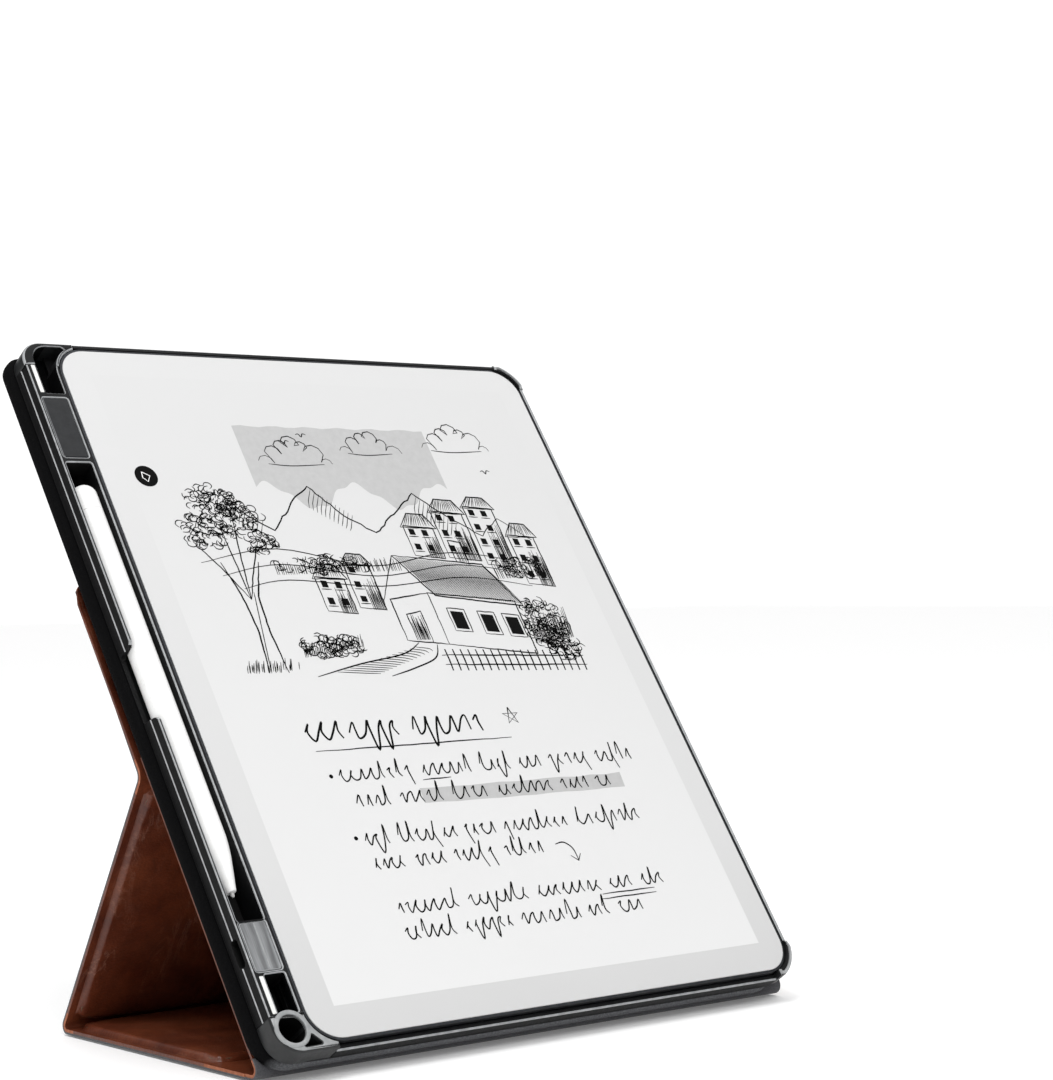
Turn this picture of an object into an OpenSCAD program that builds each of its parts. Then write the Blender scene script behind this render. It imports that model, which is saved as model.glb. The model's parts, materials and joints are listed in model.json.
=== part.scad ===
// E-reader in a folding leather stand cover, with its pen in the holder beside it.
//
// Reader axes: x to the right, y up the screen, z out of the glass; the glass face is z = 0
// and the middle of its lower edge is the reader's own zero. depth(d) is z = -d.
// Row axes: the reader leans back on the floor panel, and zero is the floor panel's underside.
// Cover sheets are drawn as [x, along, up], where up points to the leather side.

/* [Stand] */
// Angle between the screen and the floor
lean = 55.5; // [52:0.5:58]
// Height of the glass's lower edge above the floor
glass_lift = 10.5; // [10.3:0.1:11]
// Length of the floor part of the cover, from the spine fold to the rear fold
floor_len = 106; // [104:1:108]
// Where the rear panel meets the back of the case, measured up the screen
prop_y = 95.5; // [90:0.5:100]
// Length of the upper panel
upper_len = 70; // [66:1:72]

/* [Reader] */
// Width of the cover glass
glass_w = 186.6; // [184:0.2:188]
// Height of the cover glass
glass_h = 242.4; // [240:0.2:243]
// Corner radius of the cover glass
glass_r = 10; // [8:0.5:11]
// Bezel between the glass edge and the lit display
bezel = 9.5; // [8:0.5:12]
// Thickness of the reader
reader_t = 5.4; // [5.4:0.1:5.6]
// Width of metal that shows round the glass
rim = 0.8; // [0.6:0.1:0.9]

/* [Case] */
// Total depth of the case behind the glass
case_depth = 12; // [11.8:0.1:12.2]
// Thickness of the side walls
wall = 1.6; // [1.4:0.1:1.8]
// Outer corner radius of the case
case_r = 13; // [12:0.5:14]
// How far the corner bumpers stand above the glass
bumper_rise = 0.6; // [0.4:0.1:0.8]
// Width of the pen holder, from the reader to the outer wall's face
holder_w = 11.7; // [11.5:0.1:12]
// Lower end of the pen channel
channel_y0 = 38.5; // [36:0.5:42]
// Upper end of the pen channel
channel_y1 = 198; // [194:1:200]
// Lower end of the finger notch
notch_y0 = 106.8; // [100:0.1:110]
// Upper end of the finger notch
notch_y1 = 131.2; // [125:0.1:135]

/* [Pen] */
// Diameter of the pen
pen_d = 8.2; // [8:0.1:8.3]
// Length of the pen, nib to end
pen_len = 142.2; // [138:0.2:146]
// Diameter of the nib
nib_d = 1.3; // [1.2:0.1:1.4]

/* [Cover] */
// Thickness of the leather sheet
leather_t = 0.9; // [0.8:0.1:1]
// Thickness of the microfibre lining
lining_t = 0.6; // [0.5:0.1:0.6]
// Thickness of the boards in the three panels
board_t = 1.8; // [1.6:0.1:1.8]
// How far the cover stands out beyond each side of the case
cover_margin = 1.2; // [1:0.1:1.6]
// Corner radius of the upper panel's free corners
cover_r = 9; // [6:0.5:10]

/* [Hidden] */
$fn = 48;

// Reader: metal outline, the gap the case leaves round it, and the stack behind the glass.
body_x = glass_w / 2 + rim;
body_y0 = -rim;
body_y1 = glass_h + rim;
body_r = glass_r + rim;
side_gap = 0.2;
glass_t = 0.7;
light_t = 0.4;
panel_t = 0.6;
digitizer_t = 0.4;
frame_t = 0.6;
back_t = 0.7;
skin = 1.0;
rim_drop = 0.2;
digitizer_back = glass_t + light_t + panel_t + digitizer_t;
frame_back = digitizer_back + frame_t;
inside_back = reader_t - back_t;
foot_t = 0.25;

// Case: the tray is one plate with walls, and a padded board is bonded behind it.
bay_x = body_x + side_gap;
bay_y0 = body_y0 - side_gap;
bay_y1 = body_y1 + side_gap;
shell_x = bay_x + wall;
shell_y0 = bay_y0 - wall;
shell_y1 = bay_y1 + wall;
holder_x0 = -bay_x - holder_w;
cloth_t = 0.25;
tray_face = reader_t + foot_t + cloth_t + 0.1;
tray_t = 1.2;
tray_back = tray_face + tray_t;
low_wall = 4.2;
bumper_out = 1.6;
bumper_x = 86.6;
bumper_top_y = 234.5;
holder_back = 10.4;
holder_r = 8;
soft_out = 2;
corner_y0 = 9;
corner_y1 = 236;
corner_arm = 8;
far = 300;

// Pen holder: what is cut into it, from the lower corner up.
rib = 1.1;
channel_x0 = holder_x0 + wall;
channel_x1 = -bay_x - rib;
pen_x = (channel_x0 + channel_x1) / 2;
pen_depth = 5;
channel_depth = pen_depth + pen_d / 2 + 0.2;
pen_y0 = 48;
well = [pen_x, 4.7];
well_r = 4.3;
well_rim = 1.5;
small_pocket = [[-98.6, -0.9], [-91.5, -0.8], [-94.5, 2.2]];
pocket_x0 = -102.2;
low_pocket = [9.5, 21.8];
port_plate = [22.8, 38.2];
top_plate = [199.9, 223];
top_pocket = [224.8, 242];
plate_t = 1.1;
inlay_x = [-104.1, -102.7];
inlay_y = [[9.8, 21.4], [225, 235.8]];
inlay_t = 1.2;
port_y = 30.2;
port_depth = 3;
port_half_y = 4.47;
port_half_t = 1.6;
plug_w = 8.8;
plug_t = 3.5;
button_y = 15.6;
button_len = 9;
button_h = 2;
button_out = 0.5;
button_in = 0.6;

// Cover: sheet thickness, pad height, and where the folds are.
sheet_t = leather_t + lining_t;
half = sheet_t / 2;
pad_top = half + board_t + 0.1;
board_up = lining_t - half;
cover_x0 = holder_x0 - cover_margin;
cover_x1 = shell_x + cover_margin;
flap_gap = 0.3;
function row_yz(y, d) = [y * cos(lean) + d * sin(lean), y * sin(lean) - d * cos(lean) + glass_lift];
fold_depth = case_depth + half - lining_t;
fold_y = (half - glass_lift + fold_depth * cos(lean)) / sin(lean);
spine_fold = row_yz(fold_y, fold_depth);
rear_fold = spine_fold + [floor_len, 0];
prop_depth = case_depth + leather_t + flap_gap + pad_top;
top_fold = row_yz(prop_y, prop_depth);
middle_len = norm(top_fold - rear_fold);
middle_turn = atan2(top_fold[1] - rear_fold[1], top_fold[0] - rear_fold[0]);
closed_gap = 0.3;
strip_len = (fold_depth + bumper_rise + closed_gap + half) / (2 * sin(45));
lower_len = floor_len - 2 * strip_len;
row_shift = -(spine_fold[0] + floor_len / 2);
tight = 1.1;
wide = 1.8;

// ---------- shared shapes ----------

module leaning() {
    translate([0, row_shift, glass_lift])
        rotate([lean, 0, 0])
            children();
}

// A sheet of the cover that starts at a fold and runs off at an angle from the floor.
module from_fold(at, turn) {
    translate([0, row_shift + at[0], at[1]])
        rotate([turn, 0, 0])
            children();
}

// Flat plate with round corners, lying in x and y.
module rounded(x0, x1, y0, y1, r) {
    translate([x0 + r, y0]) square([x1 - x0 - 2 * r, y1 - y0]);
    translate([x0, y0 + r]) square([x1 - x0, y1 - y0 - 2 * r]);
    for (x = [x0 + r, x1 - r])
        for (y = [y0 + r, y1 - r])
            translate([x, y]) circle(r);
}

// Prism between two depths behind the glass.
module depth(front, back) {
    translate([0, 0, -back])
        linear_extrude(back - front)
            children();
}

module block(x0, x1, y0, y1, front, back) {
    translate([x0, y0, -back]) cube([x1 - x0, y1 - y0, back - front]);
}

module bay_outline() {
    rounded(-bay_x, bay_x, bay_y0, bay_y1, body_r + side_gap);
}

module body_outline(inset = 0) {
    rounded(-body_x + inset, body_x - inset, body_y0 + inset, body_y1 - inset, body_r - inset);
}

// Square area between two x and two y values.
module zone(x0, x1, y0, y1) {
    translate([x0, y0]) square([x1 - x0, y1 - y0]);
}

// Outline of the case round the reader; the left side stops at the pen holder.
module shell_outline(grow = 0, r = case_r) {
    intersection() {
        rounded(-bay_x - 2 * r, shell_x + grow, shell_y0, shell_y1, r);
        zone(-bay_x, far, -far, far);
    }
}

// Full outline of the case with the pen holder.
module case_outline(inset = 0) {
    rounded(holder_x0 + inset, 0, shell_y0 + inset, shell_y1 - inset, holder_r - inset);
    rounded(-case_r * 3, shell_x - inset, shell_y0 + inset, shell_y1 - inset, case_r - inset);
}

// Outline of the padded board, which swells out beyond the outer wall of the pen holder.
module board_outline(inset = 0) {
    rounded(holder_x0 - soft_out + inset, 0, shell_y0 + inset, shell_y1 - inset, holder_r + soft_out - inset);
    rounded(-case_r * 3, shell_x - inset, shell_y0 + inset, shell_y1 - inset, case_r - inset);
}

// ---------- case ----------

// Areas of the side wall that the four corner pieces take.
module corner_zones() {
    zone(bumper_x, far, bumper_top_y, far);
    zone(bumper_x, far, -far, corner_y0);
    zone(-far, -bay_x + corner_arm, corner_y1, far);
    zone(-far, -bay_x + corner_arm, -far, corner_y0);
}

module shell_tray() {
    color("#17181a") leaning() {
        depth(tray_face, tray_back) shell_outline();
        depth(low_wall, tray_face) difference() {
            shell_outline();
            bay_outline();
            corner_zones();
        }
        depth(0, low_wall) difference() {
            shell_outline();
            bay_outline();
            corner_zones();
            zone(-far, bumper_x, -far, corner_y0);
        }
    }
}

module bumper(y0, y1) {
    color("#232426") leaning()
        depth(-bumper_rise, tray_face) difference() {
            intersection() {
                shell_outline(bumper_out, case_r + bumper_out);
                zone(bumper_x, far, y0, y1);
            }
            bay_outline();
        }
}

module bumper_top_right() { bumper(bumper_top_y, far); }
module bumper_bottom_right() { bumper(-far, corner_y0); }

// Pill slot that a charging plug goes through.
module plug_slot() {
    translate([holder_x0 - 1, port_y, -port_depth]) rotate([0, 90, 0])
        linear_extrude(holder_w + 2)
            rounded(-plug_t / 2, plug_t / 2, -plug_w / 2, plug_w / 2, plug_t / 2 - 0.01);
}

// Outer wall of the pen holder, with the finger notch.
module holder_wall() {
    color("#141517") leaning() difference() {
        block(holder_x0, channel_x0, corner_y0, corner_y1, 0, holder_back);
        plug_slot();
        hull() {
            block(holder_x0 - 1, channel_x0 + 1, notch_y0, notch_y1, -1, 0);
            block(holder_x0 - 1, channel_x0 + 1, notch_y0 + 3, notch_y1 - 3, 4, 5.2);
        }
    }
}

// Rib between the pen and the reader, cut away beside the power button.
module holder_rib() {
    button_room = button_len / 2 + 1;
    color("#141517") leaning() difference() {
        block(channel_x1, -bay_x, corner_y0, corner_y1, 0, channel_depth);
        block(channel_x1 - 1, -bay_x + 1, button_y - button_room, button_y + button_room, -1, 5);
        plug_slot();
    }
}

module holder_floor() {
    color("#141517") leaning() block(channel_x0, -bay_x, corner_y0, corner_y1, channel_depth, holder_back);
}

// Solid parts at both ends of the channel, with a pocket in each and a recess for its plate.
module holder_blocks() {
    color("#141517") leaning() difference() {
        union() {
            block(channel_x0, channel_x1, corner_y0, channel_y0, 0, channel_depth);
            block(channel_x0, channel_x1, channel_y1, corner_y1, 0, channel_depth);
        }
        block(pocket_x0, channel_x1 + 1, low_pocket[0], low_pocket[1], -1, holder_back);
        block(pocket_x0, channel_x1 + 1, top_pocket[0], corner_y1 + 1, -1, holder_back);
        block(channel_x0 - 1, channel_x1 + 1, port_plate[0], port_plate[1], -1, plate_t);
        block(channel_x0 - 1, channel_x1 + 1, top_plate[0], top_plate[1], -1, plate_t);
        plug_slot();
        for (y = inlay_y)
            block(inlay_x[0], inlay_x[1], y[0], y[1], -1, inlay_t);
    }
}

// Left-hand corners of the case: they close the ends of the pen holder and hug the reader's corner.
module left_corner(y0, y1) {
    depth(-bumper_rise / 2, holder_back) intersection() {
        case_outline();
        zone(holder_x0, -bay_x, y0, y1);
    }
    depth(-bumper_rise / 2, tray_face) difference() {
        intersection() {
            case_outline();
            zone(-bay_x, -bay_x + corner_arm, y0, y1);
        }
        bay_outline();
    }
}

module corner_bottom_left() {
    color("#232426") leaning() difference() {
        union() {
            left_corner(shell_y0, corner_y0);
            depth(-bumper_rise, 0) intersection() {
                translate(well) circle(well_r + well_rim);
                zone(holder_x0, -bay_x, shell_y0, corner_y0);
            }
        }
        translate([well[0], well[1], -holder_back + 1.2]) cylinder(r = well_r, h = 20);
        depth(-1, 4) polygon(small_pocket);
    }
}

module corner_top_left() {
    color("#232426") leaning() difference() {
        left_corner(corner_y1, shell_y1);
        block(pocket_x0, -bay_x - rib, corner_y1 - 1, top_pocket[1], -2, channel_depth);
    }
}

module holder_inlays() {
    color("#e4e4e4") leaning()
        for (y = inlay_y)
            block(inlay_x[0], inlay_x[1], y[0], y[1], 0, inlay_t);
}

module port_bridge() {
    color("#8d9094") leaning() depth(0, plate_t)
        rounded(channel_x0, channel_x1, port_plate[0], port_plate[1], 1.2);
}

module holder_plate() {
    color("#55575a") leaning() depth(0, plate_t)
        rounded(channel_x0, channel_x1, top_plate[0], top_plate[1], 0.6);
}

module tray_lining() {
    color("#4a4a4e") leaning() depth(tray_face - cloth_t, tray_face)
        rounded(-bay_x + 1, bay_x - 1, bay_y0 + 1, bay_y1 - 1, body_r - 1);
}

// Padded board behind the tray, with soft round edges and a seat for the pen holder.
module back_board() {
    edge = 2.2;
    seat_gap = 0.05;
    color("#151517") leaning() difference() {
        hull() {
            depth(tray_back, case_depth - edge) board_outline();
            depth(case_depth - edge, case_depth - edge * 0.3) board_outline(edge * 0.3);
            depth(case_depth - edge * 0.3, case_depth) board_outline(edge);
        }
        depth(0, holder_back) intersection() {
            case_outline(-seat_gap);
            zone(-far, -bay_x, -far, far);
        }
        for (x = [-60, 60])
            block(x - 20, x + 20, prop_y + 30, prop_y + 45, 9, 10);
    }
}

module back_flap() {
    color("#7c3f2a") leaning() depth(case_depth, case_depth + leather_t)
        rounded(cover_x0 + 0.2, cover_x1 - 0.2, 2, prop_y + 4.5, 3);
}

module case_magnets() {
    color("#b9bcc0") leaning()
        for (x = [-60, 60])
            block(x - 19.8, x + 19.8, prop_y + 30.2, prop_y + 44.8, 9, 10);
}

// ---------- reader ----------

module front_glass() {
    color("#ececec") leaning() depth(0, glass_t)
        rounded(-glass_w / 2, glass_w / 2, 0, glass_h, glass_r);
}

module stack_outline(inset) {
    rounded(-glass_w / 2 + inset, glass_w / 2 - inset, inset, glass_h - inset, 2);
}

module front_light() {
    color("#dfe6ea") leaning() depth(glass_t, glass_t + light_t) stack_outline(bezel - 3);
}

module epaper_panel() {
    color("#f1f1f1") leaning() depth(glass_t + light_t, glass_t + light_t + panel_t)
        stack_outline(bezel - 2);
}

module pen_digitizer() {
    color("#2f6b4a") leaning() depth(digitizer_back - digitizer_t, digitizer_back)
        stack_outline(bezel - 2);
}

// Chassis: a ring that carries the glass, and a web behind the display.
module mid_frame() {
    color("#9a9da1") leaning() {
        depth(glass_t, digitizer_back) difference() {
            body_outline(skin);
            stack_outline(bezel - 3.4);
            port_space();
        }
        depth(digitizer_back, frame_back) difference() {
            body_outline(skin);
            port_space();
        }
    }
}

// Room for the charging port at the edge of the chassis.
module port_space() {
    zone(-body_x - 1, -body_x + 7.6, port_y - port_half_y - 0.2, port_y + port_half_y + 0.2);
}

module rear_cover() {
    color("#8f9296") leaning() difference() {
        union() {
            depth(inside_back, reader_t) body_outline();
            depth(glass_t, inside_back) difference() {
                body_outline();
                body_outline(skin);
            }
            depth(rim_drop, glass_t) difference() {
                body_outline();
                rounded(-glass_w / 2 - 0.05, glass_w / 2 + 0.05, -0.05, glass_h + 0.05, glass_r);
            }
        }
        block(-body_x - 1, -body_x + skin + 0.5, port_y - port_half_y - 0.05, port_y + port_half_y + 0.05,
              port_depth - port_half_t - 0.05, port_depth + port_half_t + 0.05);
        block(-body_x - 1, -body_x + skin + 0.5,
              button_y - button_len / 2 - 0.15, button_y + button_len / 2 + 0.15,
              port_depth - button_h / 2 - 0.15, port_depth + button_h / 2 + 0.15);
    }
}

module battery_cells() {
    color("#2a2c30") leaning()
        for (x = [-58, 2])
            depth(frame_back + 0.1, inside_back - 0.1) rounded(x, x + 56, 110, 220, 2);
}

module main_board() {
    color("#1f5b3c") leaning() depth(frame_back + 0.3, frame_back + 1.1)
        rounded(-84, 78, 12, 56, 1.5);
}

module board_shield() {
    color("#b4b7ba") leaning() depth(frame_back + 1.1, inside_back - 0.2)
        rounded(-40, 30, 18, 50, 1);
}

module usb_port() {
    mouth = 1.28;
    color("#a9acb0") leaning() difference() {
        block(-body_x + 0.1, -body_x + 7.4, port_y - port_half_y, port_y + port_half_y,
              port_depth - port_half_t, port_depth + port_half_t);
        translate([-body_x - 1, port_y, -port_depth]) rotate([0, 90, 0])
            linear_extrude(7)
                rounded(-mouth, mouth, -4.17, 4.17, mouth - 0.01);
    }
}

module power_button() {
    color("#6d7074") leaning()
        translate([-body_x - button_out, button_y, -port_depth]) rotate([0, 90, 0])
            linear_extrude(button_in + button_out)
                rounded(-button_h / 2, button_h / 2, -button_len / 2, button_len / 2, button_h / 2 - 0.01);
}

module button_switch() {
    color("#c9b48a") leaning()
        block(-body_x + skin + 0.5, -body_x + skin + 3, button_y - 3, button_y + 3,
              port_depth - 0.2, port_depth + 0.8);
}

module antenna_strip() {
    color("#d9a441") leaning() depth(frame_back + 0.2, frame_back + 0.6)
        rounded(-50, 50, 230, 238, 1);
}

module frame_screws() {
    color("#c4c7ca") leaning()
        for (x = [-86, 86])
            for (y = [8, 66, 230])
                translate([x, y, -inside_back + 0.1])
                    cylinder(d = 2.6, h = inside_back - frame_back - 0.1, $fn = 24);
}

module side_magnets() {
    color("#b9bcc0") leaning()
        for (y = [80, 150])
            block(-body_x + skin + 0.4, -body_x + skin + 3.4, y - 12, y + 12,
                  frame_back + 0.2, inside_back - 0.2);
}

module rubber_feet() {
    color("#2b2c2e") leaning()
        for (x = [-70, 70])
            for (y = [22, 220])
                translate([x, y, -reader_t - foot_t]) cylinder(d = 9, h = foot_t);
}

// ---------- pen ----------

// Pen axes: the pen stands on its nib, along +z, and is then laid in the channel.
module in_channel() {
    leaning() translate([pen_x, pen_y0, -pen_depth]) rotate([-90, 0, 0]) children();
}

nib_out = 1.6;
cone_len = 17;
cap_len = 9;
core_d = 4.6;

module pen_nib() {
    color("#d8d8d6") in_channel() rotate_extrude()
        polygon([[0, 0.02], [0.35, 0.1], [nib_d / 2, 0.9], [nib_d / 2, 9], [0, 9]]);
}

module pen_cone() {
    color("#f3f3f2") in_channel() difference() {
        rotate_extrude() polygon([[0, nib_out], [1.5, nib_out], [pen_d / 2, cone_len], [0, cone_len]]);
        translate([0, 0, -1]) cylinder(d = nib_d + 0.12, h = 12.5, $fn = 32);
    }
}

module pen_barrel() {
    color("#f6f6f5") in_channel() difference() {
        translate([0, 0, cone_len]) cylinder(d = pen_d, h = pen_len - cone_len - cap_len);
        translate([0, 0, cone_len - 1]) cylinder(d = core_d + 0.4, h = pen_len - cone_len - cap_len - 3);
    }
}

module pen_end_cap() {
    r = pen_d / 2;
    color("#efefee") in_channel() translate([0, 0, pen_len - cap_len]) {
        cylinder(r = r, h = cap_len - r);
        translate([0, 0, cap_len - r]) intersection() {
            sphere(r);
            translate([-r, -r, 0]) cube(2 * r);
        }
    }
}

module pen_core() {
    color("#b06a34") in_channel() translate([0, 0, cone_len]) cylinder(d = core_d, h = 40);
}

module pen_magnet() {
    color("#b9bcc0") in_channel() translate([0, 0, cone_len + 48]) cylinder(d = core_d, h = 50);
}

// ---------- cover ----------

module sheet(x0, x1, from, to, low, high) {
    translate([x0, from, low]) cube([x1 - x0, to - from, high - low]);
}

module strip_leather(at, len) {
    color("#7c3f2a") from_fold(at, 0)
        sheet(cover_x0, cover_x1, tight, len - tight, board_up, half);
}

module strip_lining(at, len) {
    color("#4a4a4e") from_fold(at, 0)
        sheet(cover_x0, cover_x1, tight, len - tight, -half, board_up);
}

module spine_rear_leather() { strip_leather(spine_fold, strip_len); }
module spine_rear_lining() { strip_lining(spine_fold, strip_len); }
module spine_front_leather() { strip_leather(spine_fold + [strip_len, 0], strip_len); }
module spine_front_lining() { strip_lining(spine_fold + [strip_len, 0], strip_len); }

board_side = 3.4;
board_r = 5;

// Stiffening board between two distances from the fold.
module board_shape(from, to) {
    translate([0, 0, board_up]) linear_extrude(board_t)
        rounded(cover_x0 + board_side, cover_x1 - board_side, from, to, board_r);
}

// Leather skin: a flat sheet out to the folds and edges, raised in one pad over the board.
module leather_skin(from, to, board_from, board_to, end_r) {
    lip = 0.9;
    bevel = 1.5;
    difference() {
        union() {
            translate([0, 0, board_up]) linear_extrude(leather_t)
                end_outline(from, to, end_r);
            hull() {
                translate([0, 0, half - 0.1]) linear_extrude(0.2)
                    rounded(cover_x0 + board_side - lip, cover_x1 - board_side + lip,
                            board_from - lip, board_to + lip, board_r + lip, $fn = 32);
                translate([0, 0, pad_top - 0.7]) linear_extrude(0.1)
                    rounded(cover_x0 + board_side - lip + bevel * 0.35,
                            cover_x1 - board_side + lip - bevel * 0.35,
                            board_from - lip + bevel * 0.35, board_to + lip - bevel * 0.35,
                            board_r, $fn = 32);
                translate([0, 0, pad_top - 0.1]) linear_extrude(0.1)
                    rounded(cover_x0 + board_side + bevel, cover_x1 - board_side - bevel,
                            board_from + bevel, board_to - bevel, board_r, $fn = 32);
            }
        }
        board_shape(board_from, board_to);
    }
}

// Panel outline whose far corners can be round, for the cover's free end.
module end_outline(from, to, r) {
    translate([cover_x0, from]) square([cover_x1 - cover_x0, to - from - r]);
    if (r > 0) {
        translate([cover_x0 + r, to - 2 * r]) square([cover_x1 - cover_x0 - 2 * r, 2 * r]);
        for (x = [cover_x0 + r, cover_x1 - r])
            translate([x, to - r]) circle(r);
    }
}

module panel_lining(from, to, end_r) {
    translate([0, 0, -half]) linear_extrude(lining_t) end_outline(from, to, end_r);
}

lower_board_y = [6, lower_len - 5];
middle_board_y = [5, middle_len - 3.9];
upper_board_y = [3.9, upper_len - 2.6];
lower_fold = spine_fold + [2 * strip_len, 0];

module lower_leather() {
    color("#7c3f2a") from_fold(lower_fold, 0)
        leather_skin(tight, lower_len - wide, lower_board_y[0], lower_board_y[1], 0);
}
module lower_board() {
    color("#8a7a63") from_fold(lower_fold, 0) board_shape(lower_board_y[0], lower_board_y[1]);
}
module lower_lining() {
    color("#4a4a4e") from_fold(lower_fold, 0) panel_lining(tight, lower_len - wide, 0);
}

module middle_leather() {
    color("#7c3f2a") from_fold(rear_fold, middle_turn)
        leather_skin(wide, middle_len - tight, middle_board_y[0], middle_board_y[1], 0);
}
module middle_board() {
    color("#8a7a63") from_fold(rear_fold, middle_turn) board_shape(middle_board_y[0], middle_board_y[1]);
}
module middle_lining() {
    color("#4a4a4e") from_fold(rear_fold, middle_turn) panel_lining(wide, middle_len - tight, 0);
}

module magnet_bars(grow) {
    for (x = [-60, 60])
        translate([x - 18 - grow, 36 - grow, board_up + 0.3]) cube([36 + 2 * grow, 12 + 2 * grow, 1]);
}

module upper_leather() {
    color("#7c3f2a") from_fold(top_fold, lean)
        leather_skin(tight, upper_len, upper_board_y[0], upper_board_y[1], cover_r);
}
module upper_board() {
    color("#8a7a63") from_fold(top_fold, lean) difference() {
        board_shape(upper_board_y[0], upper_board_y[1]);
        magnet_bars(0.1);
    }
}
module upper_magnets() {
    color("#b9bcc0") from_fold(top_fold, lean) magnet_bars(0);
}
module upper_lining() {
    color("#4a4a4e") from_fold(top_fold, lean) panel_lining(tight, upper_len, cover_r);
}

shell_tray();
holder_wall();
holder_rib();
holder_floor();
holder_blocks();
bumper_top_right();
bumper_bottom_right();
corner_top_left();
corner_bottom_left();
port_bridge();
holder_plate();
holder_inlays();
tray_lining();
back_board();
back_flap();
case_magnets();
front_glass();
front_light();
epaper_panel();
pen_digitizer();
mid_frame();
rear_cover();
battery_cells();
main_board();
board_shield();
usb_port();
button_switch();
antenna_strip();
frame_screws();
side_magnets();
rubber_feet();
power_button();
pen_barrel();
pen_cone();
pen_end_cap();
pen_core();
pen_magnet();
pen_nib();
spine_rear_leather();
spine_rear_lining();
spine_front_leather();
spine_front_lining();
lower_leather();
lower_board();
lower_lining();
middle_leather();
middle_board();
middle_lining();
upper_leather();
upper_board();
upper_magnets();
upper_lining();
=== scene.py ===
import json
import math
import random
import bmesh
import bpy
from mathutils import Matrix, Vector
from mathutils.geometry import tessellate_polygon


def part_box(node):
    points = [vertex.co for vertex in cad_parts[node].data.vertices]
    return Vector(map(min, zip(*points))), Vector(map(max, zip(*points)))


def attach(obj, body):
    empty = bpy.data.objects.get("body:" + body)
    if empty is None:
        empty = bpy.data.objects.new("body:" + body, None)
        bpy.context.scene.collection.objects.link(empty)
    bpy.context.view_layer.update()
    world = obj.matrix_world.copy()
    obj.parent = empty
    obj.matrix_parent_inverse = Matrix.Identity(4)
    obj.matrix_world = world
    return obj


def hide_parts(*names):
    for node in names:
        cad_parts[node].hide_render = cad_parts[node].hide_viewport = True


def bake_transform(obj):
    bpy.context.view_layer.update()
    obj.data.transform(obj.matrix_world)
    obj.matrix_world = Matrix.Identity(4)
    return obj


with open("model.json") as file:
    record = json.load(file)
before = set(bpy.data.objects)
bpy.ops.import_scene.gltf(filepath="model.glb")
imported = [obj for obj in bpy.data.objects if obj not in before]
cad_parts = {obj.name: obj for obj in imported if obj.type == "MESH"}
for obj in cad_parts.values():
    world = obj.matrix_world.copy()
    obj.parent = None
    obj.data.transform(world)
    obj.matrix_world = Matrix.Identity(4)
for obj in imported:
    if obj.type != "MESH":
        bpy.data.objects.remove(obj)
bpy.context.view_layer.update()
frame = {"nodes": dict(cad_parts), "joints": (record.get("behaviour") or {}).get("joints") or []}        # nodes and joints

MM = 0.001                        # one millimetre, in the scene's metres

# ---------- the frame's own axes ----------
# Reader axes, in mm: x right, y up the screen, z out of the glass, zero at the lower edge's middle.
# Sheet axes, in mm: x right, y along the cover from a fold, z towards the leather side.

joints = {j["name"]: j for j in frame["joints"]}
into = Vector(joints["reader_lift"]["axis"])
sin_lean, cos_lean = into.y, -into.z
lean = math.atan2(sin_lean, cos_lean)
glass_lo, glass_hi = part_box("front_glass")
rise, run = glass_hi.z - glass_lo.z, glass_hi.y - glass_lo.y
glass_h = (rise * sin_lean - run * cos_lean) / (sin_lean ** 2 - cos_lean ** 2) / MM
glass_x = glass_hi.x / MM
READER = Matrix((
    (MM, 0, 0, 0),
    (0, cos_lean * MM, -sin_lean * MM, glass_lo.y),
    (0, sin_lean * MM, cos_lean * MM, glass_hi.z - glass_h * sin_lean * MM),
    (0, 0, 0, 1)))


def sheet_frame(at, turn):
    co, si = math.cos(turn) * MM, math.sin(turn) * MM
    return Matrix(((MM, 0, 0, 0), (0, co, -si, at.y), (0, si, co, at.z), (0, 0, 0, 1)))


def reader_box(node):
    """Lowest and highest corner of a CAD node in reader axes, in mm."""
    back = READER.inverted()
    points = [back @ v.co for v in frame["nodes"][node].data.vertices]
    return (Vector([min(p[i] for p in points) for i in range(3)]),
            Vector([max(p[i] for p in points) for i in range(3)]))


fold = {n: Vector(joints[n]["pos_m"]) for n in
        ("cover_swing", "spine_bend", "spine_front_fold", "stand_rear_fold", "stand_top_fold")}
rear, top = fold["stand_rear_fold"], fold["stand_top_fold"]
middle_turn = math.atan2(top.z - rear.z, top.y - rear.y)
strip_len = (fold["spine_bend"] - fold["cover_swing"]).length / MM
lower_len = (rear - fold["spine_front_fold"]).length / MM
middle_len = (top - rear).length / MM
STRIP_REAR = sheet_frame(fold["cover_swing"], 0)
STRIP_FRONT = sheet_frame(fold["spine_bend"], 0)
LOWER = sheet_frame(fold["spine_front_fold"], 0)
MIDDLE = sheet_frame(rear, middle_turn)
UPPER = sheet_frame(top, lean)
half, meet = 0.75, -0.15          # half the cover's thickness; where leather meets lining
upper_len = ((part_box("upper_lining")[1].z - top.z) / MM - meet * cos_lean) / sin_lean
cover_lo, cover_hi = (v.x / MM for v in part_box("lower_lining"))

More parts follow.
